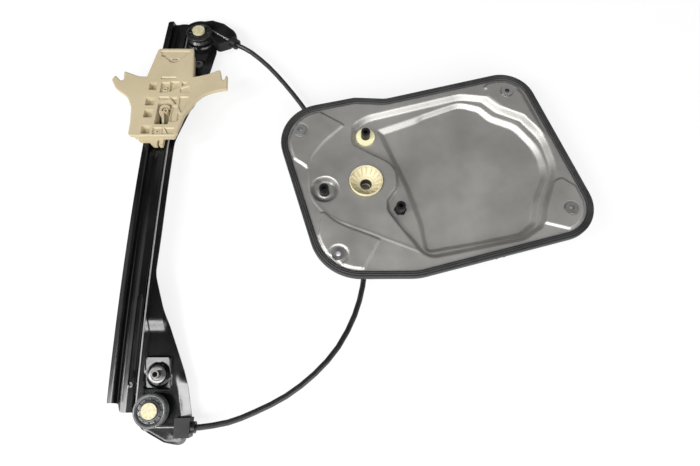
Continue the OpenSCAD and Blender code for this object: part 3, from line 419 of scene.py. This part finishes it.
def finish(name, colour, rubbed, rough, change, marks, grain, depth, metal=0.0, specular=0.5,
           stretch=(1, 1, 1)):
    """Material with fine grain and handling marks, from plain values."""
    material, nodes, links, shader = new_material(name)
    worn = nodes.new("ShaderNodeGroup")
    worn.node_tree = handling_marks
    worn.inputs["Finish"].default_value = (*colour, 1)
    worn.inputs["Rubbed"].default_value = (*rubbed, 1)
    worn.inputs["Rough"].default_value = rough
    worn.inputs["Rough change"].default_value = change
    worn.inputs["Scale"].default_value = marks
    skin = nodes.new("ShaderNodeGroup")
    skin.node_tree = fine_grain
    skin.inputs["Scale"].default_value = grain
    skin.inputs["Depth"].default_value = depth
    skin.inputs["Stretch"].default_value = stretch
    links.new(worn.outputs["Colour"], shader.inputs["Base Color"])
    links.new(worn.outputs["Roughness"], shader.inputs["Roughness"])
    links.new(skin.outputs["Normal"], shader.inputs["Normal"])
    shader.inputs["Metallic"].default_value = metal
    shader.inputs["Specular IOR Level"].default_value = specular
    return material


def dress(material, *names):
    for name in names:
        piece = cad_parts.get(name) or bpy.data.objects[name]
        piece.data.materials.clear()
        piece.data.materials.append(material)


rail_black = finish("rail_black", (0.0018, 0.0018, 0.002), (0.004, 0.004, 0.0045), 0.17, 0.12, 22,
                    500, 0.000008)
dress(rail_black, "rail_pressing")

# Rail nuts: turned steel sleeves, clenched in the rail's bosses, dark zinc plated. The panel's
# four rivet nuts are of the same steel with a brighter zinc.
nut_zinc = finish("nut_zinc", (0.17, 0.17, 0.17), (0.3, 0.29, 0.28), 0.34, 0.16, 160, 1500,
                  0.00001, metal=1.0)
dress(nut_zinc, "upper_rail_nut", "lower_rail_nut")
nut_bright = finish("nut_bright", (0.34, 0.34, 0.335), (0.46, 0.455, 0.45), 0.3, 0.14, 160, 1500,
                    0.00001, metal=1.0)
dress(nut_bright, "panel_nuts")

# Upper pulley's arm and lower casing block: black glass-filled nylon mouldings with a fine
# matt skin, screwed flat on the rail's brackets.
moulded_black = finish("moulded_black", (0.004, 0.0041, 0.0043), (0.009, 0.0092, 0.0096), 0.34,
                       0.12, 60, 1800, 0.00002, specular=0.35)
dress(moulded_black, "upper_pulley_housing", "lower_conduit_fitting", "harness_clip",
      "drum_housing")

# Pulleys: black acetal wheels with a groove for the cable; the lower one is coloured dark grey as
# a painted sheen, for the light its ring catches at the rail's lower end. Each turns on a cream
# bush whose cap holds it down, on a riveted steel axle.
pulley_under = -0.5


def turned(name, section, count, width, centre, lean=0.0, around=192):
    """Ring turned from the closed section (radius, height, rise of its ribs), in mm.

    It has count ribs, each width of a rib's pitch wide; lean tips it about X, in radians.
    """
    rise = []
    for k in range(around):
        off = abs((k * count / around + 0.5) % 1 - 0.5) * 2
        rise.append(float(ease(width + 0.12 - off, 0.24)))
    rows = []
    for r, z, rib in section:
        for k in range(around):
            a = 2 * math.pi * k / around
            x, y, h = r * math.cos(a), r * math.sin(a), z + rib * rise[k]
            rows.append((centre[0] + x, centre[1] + y * math.cos(lean) - h * math.sin(lean),
                         centre[2] + y * math.sin(lean) + h * math.cos(lean)))
    faces = [(i * around + k, j * around + k, j * around + (k + 1) % around,
              i * around + (k + 1) % around)
             for i, j in zip(range(len(section)), [*range(1, len(section)), 0])
             for k in range(around)]
    mesh = bpy.data.meshes.new(name)
    mesh.from_pydata([tuple(v * MM for v in row) for row in rows], [], faces)
    mesh.validate()
    mesh.shade_smooth()
    mesh.set_sharp_from_angle(angle=math.radians(38))
    piece = bpy.data.objects.new(name, mesh)
    bpy.context.scene.collection.objects.link(piece)
    return piece


wheel = [(6.1, 0.1, 0), (15.1, 0.1, 0), (15.5, 0.5, 0), (15.5, 1.2, 0), (13.3, 3.5, 0),
         (13.2, 4.5, 0), (13.3, 5.5, 0), (15.5, 7.8, 0), (15.5, 8.1, 0), (15.35, 8.45, 0),
         (15.0, 8.7, 0), (14.4, 8.84, 0), (13.7, 8.86, 0), (13.1, 8.78, 0), (12.5, 8.55, 0),
         (12.2, 8.2, 0), (12.0, 7.2, 0), (11.7, 6.9, 0.9), (9.9, 6.9, 0.9), (9.6, 7.1, 0),
         (9.4, 8.3, 0), (9.0, 8.6, 0), (8.3, 8.6, 0), (8.1, 8.3, 0), (7.9, 7.9, 0), (6.1, 7.9, 0)]
# Painted sheen: the lower wheel is the same black acetal, lightened to grey for the light it
# catches.
pulley_painted_sheen_grey = finish("pulley_painted_sheen_grey", (0.045, 0.046, 0.047), (0.085, 0.086, 0.088), 0.2, 0.12, 90,
                     1400, 0.000015)
pulley_black = finish("pulley_black", (0.006, 0.006, 0.0065), (0.014, 0.014, 0.015), 0.24, 0.12,
                      90, 1400, 0.000015)
cap_cream = finish("cap_cream", (0.56, 0.52, 0.34), (0.38, 0.34, 0.2), 0.46, 0.1, 420, 1300,
                   0.00006)
axle_steel = finish("axle_steel", (0.42, 0.42, 0.43), (0.55, 0.55, 0.55), 0.28, 0.14, 120, 1600,
                    0.00001, metal=1.0)
for which, body, s, coat in (("upper", "top_pulley", upper_pulley_s, pulley_black),
                             ("lower", "bottom_pulley", lower_pulley_s, pulley_painted_sheen_grey)):
    centre = at_rail(pulley_x, s, pulley_under)
    pulley = turned(f"{which}_pulley_wheel", wheel, 12, 0.22, centre, -s / bow_r)
    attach(pulley, body)
    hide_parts(f"{which}_pulley")
    dress(coat, pulley.name)
dress(cap_cream, "upper_pulley_bush", "lower_pulley_bush")
dress(axle_steel, "upper_axle", "lower_axle", "upper_ferrule", "lower_ferrule", "drum_axle",
      "drum_nipples", "carrier_nipples", "upper_tension_spring", "lower_tension_spring")

# Flange of the lower rail nut: a low turned cone of zinc-plated steel. It sits on the rail's
# boss and takes the pull of the screw that holds the rail to the door.
flange = turned("lower_nut_flange", [(3.7, 0, 0), (7.9, 0, 0), (8.1, 0.3, 0), (8, 0.7, 0),
                                     (6.2, 1.6, 0), (5.6, 1.5, 0), (5.2, 1.1, 0), (3.7, 1.1, 0)],
                1, 0, at_rail(lower_nut[0], lower_nut_s, 1.1), -lower_nut_s / bow_r)
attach(flange, "frame")
dress(nut_zinc, "lower_nut_flange")

# Cable: 1.5 mm rope of twisted zinc-coated steel wires, bare along the rail and on the drum.
twisted_steel, nodes, links, shader = new_material("twisted_steel")
spot = nodes.new("ShaderNodeTexCoord")
lay = nodes.new("ShaderNodeTexWave")
lay.wave_type = "BANDS"
lay.bands_direction = "DIAGONAL"
lay.inputs["Scale"].default_value = 420
lay.inputs["Distortion"].default_value = 0.4
links.new(spot.outputs["Object"], lay.inputs["Vector"])
tone = nodes.new("ShaderNodeMix")
tone.data_type = "RGBA"
tone.inputs["A"].default_value = (0.3, 0.3, 0.3, 1)
tone.inputs["B"].default_value = (0.62, 0.62, 0.61, 1)
links.new(lay.outputs["Fac"], tone.inputs["Factor"])
links.new(tone.outputs["Result"], shader.inputs["Base Color"])
wires = nodes.new("ShaderNodeBump")
wires.inputs["Distance"].default_value = 0.00015
links.new(lay.outputs["Fac"], wires.inputs["Height"])
links.new(wires.outputs["Normal"], shader.inputs["Normal"])
shader.inputs["Metallic"].default_value = 0.85
shader.inputs["Roughness"].default_value = 0.36
dress(twisted_steel, "rail_cable", "drum_cable", "cable_leads")

# Casings: black polyethylene tube over a wire coil, from the pulleys to the drum's housing,
# with a brown sleeve where each enters its port.
casing_black = finish("casing_black", (0.003, 0.003, 0.0033), (0.007, 0.007, 0.008), 0.34, 0.12,
                      70, 900, 0.00002)
sleeve_brown = finish("sleeve_brown", (0.12, 0.062, 0.028), (0.18, 0.1, 0.05), 0.45, 0.1, 150,
                      1500, 0.00002)
dress(casing_black, "upper_conduit", "lower_conduit")
dress(sleeve_brown, "upper_conduit_end", "lower_conduit_end")

# Glass carrier: one moulding of beige nylon. Its face has square lightening pockets between
# ribs, two hooked arms reach out under the glass, and a tongue with a second plate behind it
# takes the glass's edge.
carrier_s = 110.0
face_h, face_t, plate_h, plate_top, cheek_h = 17.0, 3.0, 7.0, 9.5, 14.3
shoulder_y = 29.0
carrier_outline = [
    (10.2, -51.2, 2), (12.8, -48.5, 2), (14.2, -36, 30), (18.8, -19, 40), (33, 2, 30),
    (48, 8.6, 40), (60.4, 10.8, 1), (59, 29.3, 1), (57.2, 30.6, 0.5), (55.9, 24.6, 0.3),
    (53.2, 24.6, 0.3), (50.6, 36.2, 0.5), (48.8, 38.4, 0.5), (38, 33, 60), (24, shoulder_y, 20),
    (-40, shoulder_y, 20), (-50, 33.4, 30), (-58.2, 36.8, 0.8), (-56.8, 24.6, 1),
    (-60, 23.2, 2), (-67.4, 31, 1.5), (-70.4, 25, 5), (-63.5, 12, 20), (-48.5, 0.5, 20),
    (-42, -13, 24), (-39.6, -32, 60), (-38.8, -51.4, 4)]
tongue_outline = [(-32, shoulder_y - 3, 0), (20.8, shoulder_y - 3, 0), (16.3, 70.2, 3),
                  (-24.4, 70.2, 4)]
back_outline = [(-32, shoulder_y - 3, 0), (20.3, shoulder_y - 3, 0), (15.8, 66.4, 3),
                (-22.8, 66.4, 4)]
core_outline = [(8.5, -49.5, 2), (11.5, -38, 20), (15.5, -20, 20), (24, -6, 20),
                (29, shoulder_y - 1, 2), (-36, shoulder_y - 1, 2), (-38.5, -6, 20),
                (-35.5, -49.5, 3)]
arms_depth = depth_in(rounded(carrier_outline, 6))
tongue_depth = depth_in(rounded(tongue_outline, 6))
core_depth = depth_in(rounded(core_outline, 6))
pockets = [[(-26.2, 10, 0.8), (-18.4, 10, 0.8), (-18.4, 20, 0.8), (-26.2, 20, 0.8)],
           [(-26.8, -11, 0.8), (-17.8, -11, 0.8), (-17.8, -1.4, 0.8), (-26.8, -1.4, 0.8)],
           [(-26.2, -27.2, 0.8), (-17.3, -27.2, 0.8), (-17.3, -17.4, 0.8), (-26.2, -17.4, 0.8)],
           [(-25.4, -48.2, 0.8), (-16.4, -48.2, 0.8), (-16.4, -38.6, 0.8), (-25.4, -38.6, 0.8)]]
cells = [([(-13.4, 6.4, 0.8), (-4.6, 6.4, 0.8), (-4.6, 20.4, 0.8), (-13.4, 20.4, 0.8)], 2.4),
         ([(-3.2, 7.2, 0.6), (5.9, 13.4, 0.6), (5.9, 21.4, 0.6), (-3.2, 21.4, 0.6)], 2.0),
         ([(10, 14.6, 0.5), (15.4, 20.4, 0.5), (9.2, 20.8, 0.5)], 1.8),
         ([(8.8, 6.4, 0.8), (19.2, 6.4, 0.8), (17.6, 15.4, 0.8), (8.8, 12, 0.8)], 1.0),
         ([(-0.8, -0.4, 0.5), (6.6, -10.6, 0.5), (6.6, -0.4, 0.5)], 1.8),
         ([(9.8, -13.1, 0.8), (13.6, -21.5, 0.8), (17, -15, 0.8), (19.4, -6, 0.8), (19, 0.2, 0.8),
           (9.6, 0.2, 0.8)], 1.2),
         ([(-13.4, -49, 0.8), (-4.6, -49, 0.8), (-4.6, -40.6, 0.8), (-13.4, -40.6, 0.8)], 1.6),
         ([(2.9, -49, 0.5), (9, -49, 0.5), (8.6, -41, 0.5), (-1.4, -41, 0.5)], 1.2),
         ([(-13.2, -3.2, 0.8), (-3.2, -3.2, 0.8), (-1.9, 0.2, 0.8), (-13.2, 0.2, 0.8)], 0.8),
         ([(3, -33, 0.5), (8.8, -33, 0.5), (8.4, -12.5, 0.5), (3.6, -12.5, 0.5)], 1.3),
         ([(10.2, -33, 0.5), (12.2, -30, 0.5), (13.2, -24, 0.5), (10.2, -20, 0.5)], 1.2),
         ([(-3.4, -40.2, 0.5), (1.4, -48.8, 0.5), (-3.4, -48.8, 0.5)], 1.0)]
pocket_depths = [(depth_in(rounded(p, 3)), 5.4) for p in pockets]
pocket_depths += [(depth_in(rounded(c, 3)), deep) for c, deep in cells]
well_depth = depth_in(rounded([(-12.8, -36, 1), (1.2, -36, 1), (2.4, -9, 1), (-2, -5.6, 3),
                               (-12.6, -8, 3)]))
vee_depth = depth_in(rounded([(-22.4, 66, 1.5), (-16, 57.5, 5), (-6, 48.6, 7), (-1.5, 48.6, 7),
                              (13.6, 65, 1.5), (10, 66.8, 3), (-18, 66.8, 3)]))
slot_depth = depth_in(rounded([(-9.6, 50, 2.2), (1.4, 50, 2.2), (1.4, 55.8, 2.2),
                               (-9.6, 55.8, 2.2)]))
eye_depth = depth_in(rounded([(-8.6, 54.4, 0.6), (0.4, 54.4, 0.6), (-1.2, 56.0, 1),
                              (-7, 56.0, 1)]))
lever_slots = [depth_in(rounded([(-1.6, -35, 0.5), (0.7, -35, 0.5), (0.7, -11, 0.5),
                                 (-1.2, -11, 0.5)])),
               depth_in(rounded([(-11.6, -32, 0.5), (-8.4, -32, 0.5), (-8.0, -26, 0.8),
                                 (-10.2, -19, 0.5), (-11.6, -19, 0.5)]))]
bosses = ((-8.5, 12, 2.7), (-8.8, -44.8, 2.7))
boss_foot, boss_rise, boss_hole_r, boss_hole_deep = 12.6, 3.2, 1.25, 3.5
rim_round, band_deep, vee_deep, slot_deep = 0.55, 1.1, 0.8, 1.0
tie_x, tie_y, tie_r = -17.5, 59.4, 1.8


def tie_hole(x, y):
    """How far points lie inside the oval hole beside the vee."""
    return tie_r - np.hypot((x - tie_x) * 0.8, y - tie_y)


def carrier_depth(x, y):
    d = np.maximum(arms_depth(x, y), tongue_depth(x, y))
    for slot in (eye_depth, *lever_slots):
        d = np.minimum(d, -slot(x, y))
    return np.minimum(d, -tie_hole(x, y))


def carrier_top(x, y):
    h = np.full(np.shape(x), face_h)
    rim = np.maximum(arms_depth(x, y), tongue_depth(x, y))
    h = h - rim_round * (1 - ease(rim, 1.1))
    for inside, deep in pocket_depths:
        h = h - deep * ease(inside(x, y) + 0.35, 0.9)
    well = ease(well_depth(x, y) + 0.35, 0.9)
    h = h - (face_h - plate_top - 0.4) * well
    h = h - vee_deep * ease(vee_depth(x, y) + 0.3, 1.6)
    h = h - slot_deep * ease(slot_depth(x, y) + 0.3, 1.0)
    band = np.minimum(y - 25.4, 28.2 - y)
    h = h - band_deep * ease(np.minimum(band, np.minimum(x + 15, 1.6 - x)) + 0.2, 0.7)
    for cx, cy, r in bosses:
        near = np.hypot(x - cx, y - cy)
        boss = boss_foot + boss_rise * ease(r + 0.5 - near, 0.7)
        h = np.where(near < r + 0.6, np.maximum(h, boss), h)
        h = h - boss_hole_deep * ease(boss_hole_r - near, 0.5)
    return h


def carrier_under(x, y):
    low = np.where(tongue_depth(x, y) > arms_depth(x, y), cheek_h, face_h - face_t)
    return np.where(core_depth(x, y) > 0, plate_h, low)


def carrier_place(x, y, h):
    a = carrier_s / bow_r
    r = bow_r + h
    return (x + cable_x, crown_y + y * math.cos(a) + r * math.sin(a),
            crown_z - bow_r - y * math.sin(a) + r * math.cos(a))


carrier = pressed_sheet("carrier_moulding", carrier_depth, np.arange(-71, 62, 0.45),
                        np.arange(-52, 71, 0.45), carrier_top, carrier_under, carrier_place, 32)
back_edge = depth_in(rounded(back_outline, 6))


def back_depth(x, y):
    return np.minimum(back_edge(x, y), -tie_hole(x, y))


carrier_back = pressed_sheet(
    "carrier_back_plate", back_depth, np.arange(-33, 21.5, 0.8), np.arange(25.5, 67.2, 0.8),
    lambda x, y: plate_top - 0.4 * (1 - ease(back_depth(x, y), 0.9)),
    lambda x, y: np.full(np.shape(x), plate_h), carrier_place, 32)
carrier_back.parent = carrier
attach(carrier, "carrier")
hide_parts("glass_carrier")
carrier_beige = finish("carrier_beige", (0.42, 0.355, 0.228), (0.47, 0.4, 0.262), 0.42, 0.12,
                       26, 1100, 0.00003)
dress(carrier_beige, "carrier_moulding", "carrier_back_plate", "glass_lock_lever",
      "carrier_end_guide", "upper_glide", "lower_glide")

# Panel: 1 mm galvanised sheet, pressed with a wide recess, a deeper pocket in it, a round
# dimple for the left socket and raised corners for the nuts.
flange_z, sheet_t = 36.0, 1.0
tray_rise, recess_deep, pocket_deep, dimple_deep = 2, 6, 5, 6
drum_hole_r, socket_hole_r, nut_hole_r = 17.9, 5.2, 4.2
panel_outline = [(-102.5, 80.5, 45), (-43.5, -104, 52), (50, -103.5, 60), (240, -53, 38),
                 (174, 138.5, 36), (22, 99.5, 30), (-12, 101, 25)]
plate_outline = inset(panel_outline, 3)
recess_outline = [
    (57, -86, 20), (156, -65.5, 30), (178, -51, 16), (184, -28, 50), (200, 14, 50),
    (192, 53, 50), (172, 80, 5), (146, 91, 14), (131, 105, 12), (104, 108, 40), (0, 79.5, 40),
    (-15.5, 68, 10), (-15.5, 43, 12), (30, 17.5, 20), (30.5, -5, 14), (20, -20, 10),
    (20.5, -33, 12)]
pocket_outline = [
    (57, -77.5, 8), (156, -60, 20), (172, -47, 14), (178, -20, 60), (192, 12, 40), (188, 42, 60),
    (165, 73, 30), (139, 83, 14), (127, 95, 14), (104, 101, 30), (10.5, 65, 3), (38, -2, 90),
    (51, -44, 120)]
tray_edge = inset(panel_outline, 8.5)
tray_reach = inset(panel_outline, 4)


def tray_side(i, j, t):
    a, b = tray_reach[i], tray_reach[j]
    return (a[0] + t * (b[0] - a[0]), a[1] + t * (b[1] - a[1]), 0)


trays = [[(*tray_reach[0][:2], 0), tray_side(0, 1, 0.265), (-59.5, 12, 2), (-56, 26, 40),
          (-43, 45, 60), (-20.5, 66.5, 3), tray_side(0, 6, 0.5)],
         [(-46, -31, 3), tray_side(0, 1, 0.838), (*tray_reach[1][:2], 0), tray_side(1, 2, 0.4),
          (14.5, -63.5, 3), (-28, -46.5, 60)],
         [tray_side(2, 3, 0.87), (*tray_reach[3][:2], 0), tray_side(3, 4, 0.22), (201, 5, 2),
          (190, 6, 20), (176, -47.5, 2)],
         [tray_side(3, 4, 0.5), (*tray_reach[4][:2], 0), tray_side(4, 5, 0.22), (131, 115, 1),
          (130, 102, 3), (148, 85, 10), (180, 62, 5)]]
nut_places = [(-70, 59.5), (-28, -80), (156, 109), (206, -31)]
socket_places = [(-43, -10.5), (34.5, -30), (0, 55)]
plate_depth = depth_in(rounded(plate_outline, 10))
recess_depth = depth_in(rounded(recess_outline, 10))
pocket_depth = depth_in(rounded(pocket_outline, 10))
edge_depth = depth_in(rounded(tray_edge, 10))
tray_depths = [depth_in(rounded(tray)) for tray in trays]
drum_border = [(-58.5, 11), (-58.2, 0), (-57, -9), (-53, -22), (-46.5, -30.5), (-38, -38),
               (-28, -44), (-12, -50.5), (4, -56.5), (18, -62.5), (34, -69), (50, -75.5),
               (60, -80.5)]


def panel_cut(x, y):
    d = np.minimum(plate_depth(x, y), np.hypot(x, y) - drum_hole_r)
    for cx, cy in socket_places:
        d = np.minimum(d, np.hypot(x - cx, y - cy) - socket_hole_r)
    for cx, cy in nut_places:
        d = np.minimum(d, np.hypot(x - cx, y - cy) - nut_hole_r)
    return d


def ramp(d, width):
    """0 to 1 across width with a straight slope between two rounded bends."""
    t = np.clip(d / width, 0, 1)
    bend = 0.26
    low = t * t / (2 * bend * (1 - bend))
    high = 1 - (1 - t) ** 2 / (2 * bend * (1 - bend))
    middle = (t - bend / 2) / (1 - bend)
    return np.where(t < bend, low, np.where(t > 1 - bend, high, middle))


def off_line(points, x, y):
    """How far points lie from an open line."""
    nearest = np.full(np.shape(x), 1e18)
    for (ax, ay), (bx, by) in zip(points, points[1:]):
        ex, ey = bx - ax, by - ay
        t = np.clip(((x - ax) * ex + (y - ay) * ey) / (ex * ex + ey * ey), 0, 1)
        nearest = np.minimum(nearest, (x - ax - t * ex) ** 2 + (y - ay - t * ey) ** 2)
    return np.sqrt(nearest)


def panel_top(x, y):
    z = np.full(np.shape(x), flange_z)
    lift = np.zeros(np.shape(x))
    from_drum = np.hypot(x, y)
    arc = ease(76 - from_drum, 8) * ease(y - 8, 8)
    for inside, soft in zip(tray_depths, (2.2 + 1.3 * arc, 2.2, 2.2, 6 - 4 * ease(y - 111, 4))):
        rim = np.minimum(inside(x, y), edge_depth(x, y))
        lift = np.maximum(lift, ramp(rim / soft, 1))
    narrow = ease(46 - x, 10) * ease(62 - y, 8)
    into_recess = ramp(recess_depth(x, y) / (6.2 - 2.8 * narrow), 1)
    z = z + tray_rise * lift * (1 - into_recess) - recess_deep * into_recess
    pocket_wall = 5.4 + 2.4 * ease(x - 100, 60) + 2.6 * ease(64 - x, 10)
    z = z - pocket_deep * ramp(pocket_depth(x, y) / pocket_wall, 1)
    near = np.hypot(x + 42.5, y + 9)
    z = z - dimple_deep * ramp((15.2 - near) / 5.2, 1) + 0.9 * ease(8.2 - near, 1.4)
    z = z + 0.5 * ease(2.1 - off_line(drum_border, x, y), 2.1)
    for (cx, cy), r, deep in zip(nut_places, (9.5, 10.8, 7.5, 8.2), (0.5, 1.3, 0.6, 0.9)):
        near = np.hypot(x - cx, y - cy)
        z = z - deep * ease(np.minimum(r - near, near - 4.6), 1.8)
    return z


panel = pressed_sheet("panel_pressing", panel_cut, np.arange(-87, 225, 0.95),
                      np.arange(-102, 129, 0.95), panel_top,
                      lambda x, y: panel_top(x, y) - sheet_t, lambda x, y, z: (x, y, z))
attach(panel, "frame")
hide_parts("panel_plate")
galvanised = finish("galvanised", (0.40, 0.39, 0.372), (0.52, 0.51, 0.485), 0.5, 0.08, 14, 260,
                    0.00001, metal=1.0, stretch=(0.12, 1, 1))
dress(galvanised, "panel_pressing")
collar = turned("drum_hole_collar", [(18, 30.2, 0), (18.4, 30, 0), (19, 30, 0), (19, 35.4, 0),
                                     (18, 35.4, 0)], 1, 0, (0, 0, 0))
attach(collar, "frame")
dress(galvanised, "drum_hole_collar")

# Seal: a soft dark rubber profile clipped round the panel's edge, with two grooves along its
# top that let it press flat on the door.
seal_profile = [(0.0, 32.7), (0.0, 37.2), (0.35, 38.0), (1.0, 38.45), (1.7, 38.45), (2.1, 38.05),
                (2.4, 37.95), (2.7, 38.1), (3.2, 38.45), (3.9, 38.4), (4.3, 38.0), (4.6, 37.85),
                (4.9, 37.95), (5.4, 38.2), (6.1, 38.05), (6.7, 37.5), (7.0, 36.8), (7.0, 36.0),
                (3.0, 36.0), (3.0, 35.0), (7.0, 35.0), (7.0, 32.6), (6.4, 32.0), (0.7, 32.0)]
rings = [rounded(inset(panel_outline, u), 14) for u, z in seal_profile]
around, across = len(rings[0]), len(rings)
points = [(p[0] * MM, p[1] * MM, z * MM)
          for ring, (u, z) in zip(rings, seal_profile) for p in ring]
faces = [(i * around + j, i * around + (j + 1) % around,
          ((i + 1) % across) * around + (j + 1) % around, ((i + 1) % across) * around + j)
         for i in range(across) for j in range(around)]
seal_mesh = bpy.data.meshes.new("seal_profile")
seal_mesh.from_pydata(points, [], faces)
seal_mesh.shade_smooth()
seal_mesh.set_sharp_from_angle(angle=math.radians(50))
seal = bpy.data.objects.new("seal_profile", seal_mesh)
bpy.context.scene.collection.objects.link(seal)
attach(seal, "frame")
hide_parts("panel_seal")
seal_rubber = finish("seal_rubber", (0.011, 0.011, 0.0115), (0.024, 0.024, 0.025), 0.5, 0.12, 50,
                     1200, 0.00004)
dress(seal_rubber, "seal_profile")

# Motor sockets and washer: black hollow posts that rise from the drum's housing through the
# panel, with a cream spacer washer round the top one.
dress(moulded_black, "motor_sockets")
washer_cream = finish("washer_cream", (0.74, 0.69, 0.40), (0.78, 0.74, 0.48), 0.5, 0.1, 120,
                      1300, 0.00003)
dress(washer_cream, "locating_washer", "cable_drum")

# Drive coupling: a cup of cream acetal on the drum, with sixteen small gussets down its cone
# that take the splines of the motor's driver, and a dark brown sleeve in its hub that paints the
# shade down the bore.
cup = turned("coupling_cup", [
    (6, 19.5, 0), (12.5, 19.5, 0), (12.5, 30.8, 0), (17.1, 30.8, 0), (17.3, 31.1, 0),
    (17.3, 38, 0), (17.1, 38.5, 0), (16.7, 38.7, 0), (16.3, 38.5, 0), (15.9, 36.8, 0),
    (15.7, 35.6, 2.2), (14.4, 34.2, 2.5), (12.6, 32.3, 2.3), (11, 30.8, 1.6), (10, 30, 0.5),
    (9.4, 29.6, 0), (8, 29.1, 0), (6.8, 28.9, 0), (6.3, 28.6, 0), (6, 28, 0)],
    16, 0.1, (0, 0, 0), around=384)
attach(cup, "drum")
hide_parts("drive_coupling")
coupling_cream = finish("coupling_cream", (0.6, 0.545, 0.36), (0.52, 0.465, 0.3), 0.48, 0.1, 160,
                        1300, 0.00003)
dress(coupling_cream, "coupling_cup")
# Painted shade: this dark brown sleeve darkens the bore's walls, standing for the shadow inside
# the deep hole.
bush = turned("coupling_bore_shade", [(5.9, 20, 0), (5.9, 28.2, 0), (5.7, 28.4, 0), (5.3, 28.4, 0),
                                (5.1, 28.2, 0), (5.1, 20, 0)], 1, 0, (0, 0, 0))
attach(bush, "drum")
bore_painted_shade = finish("bore_painted_shade", (0.02, 0.014, 0.01), (0.05, 0.038, 0.028), 0.4, 0.1, 300, 1500,
                    0.00002)
dress(bore_painted_shade, "coupling_bore_shade")
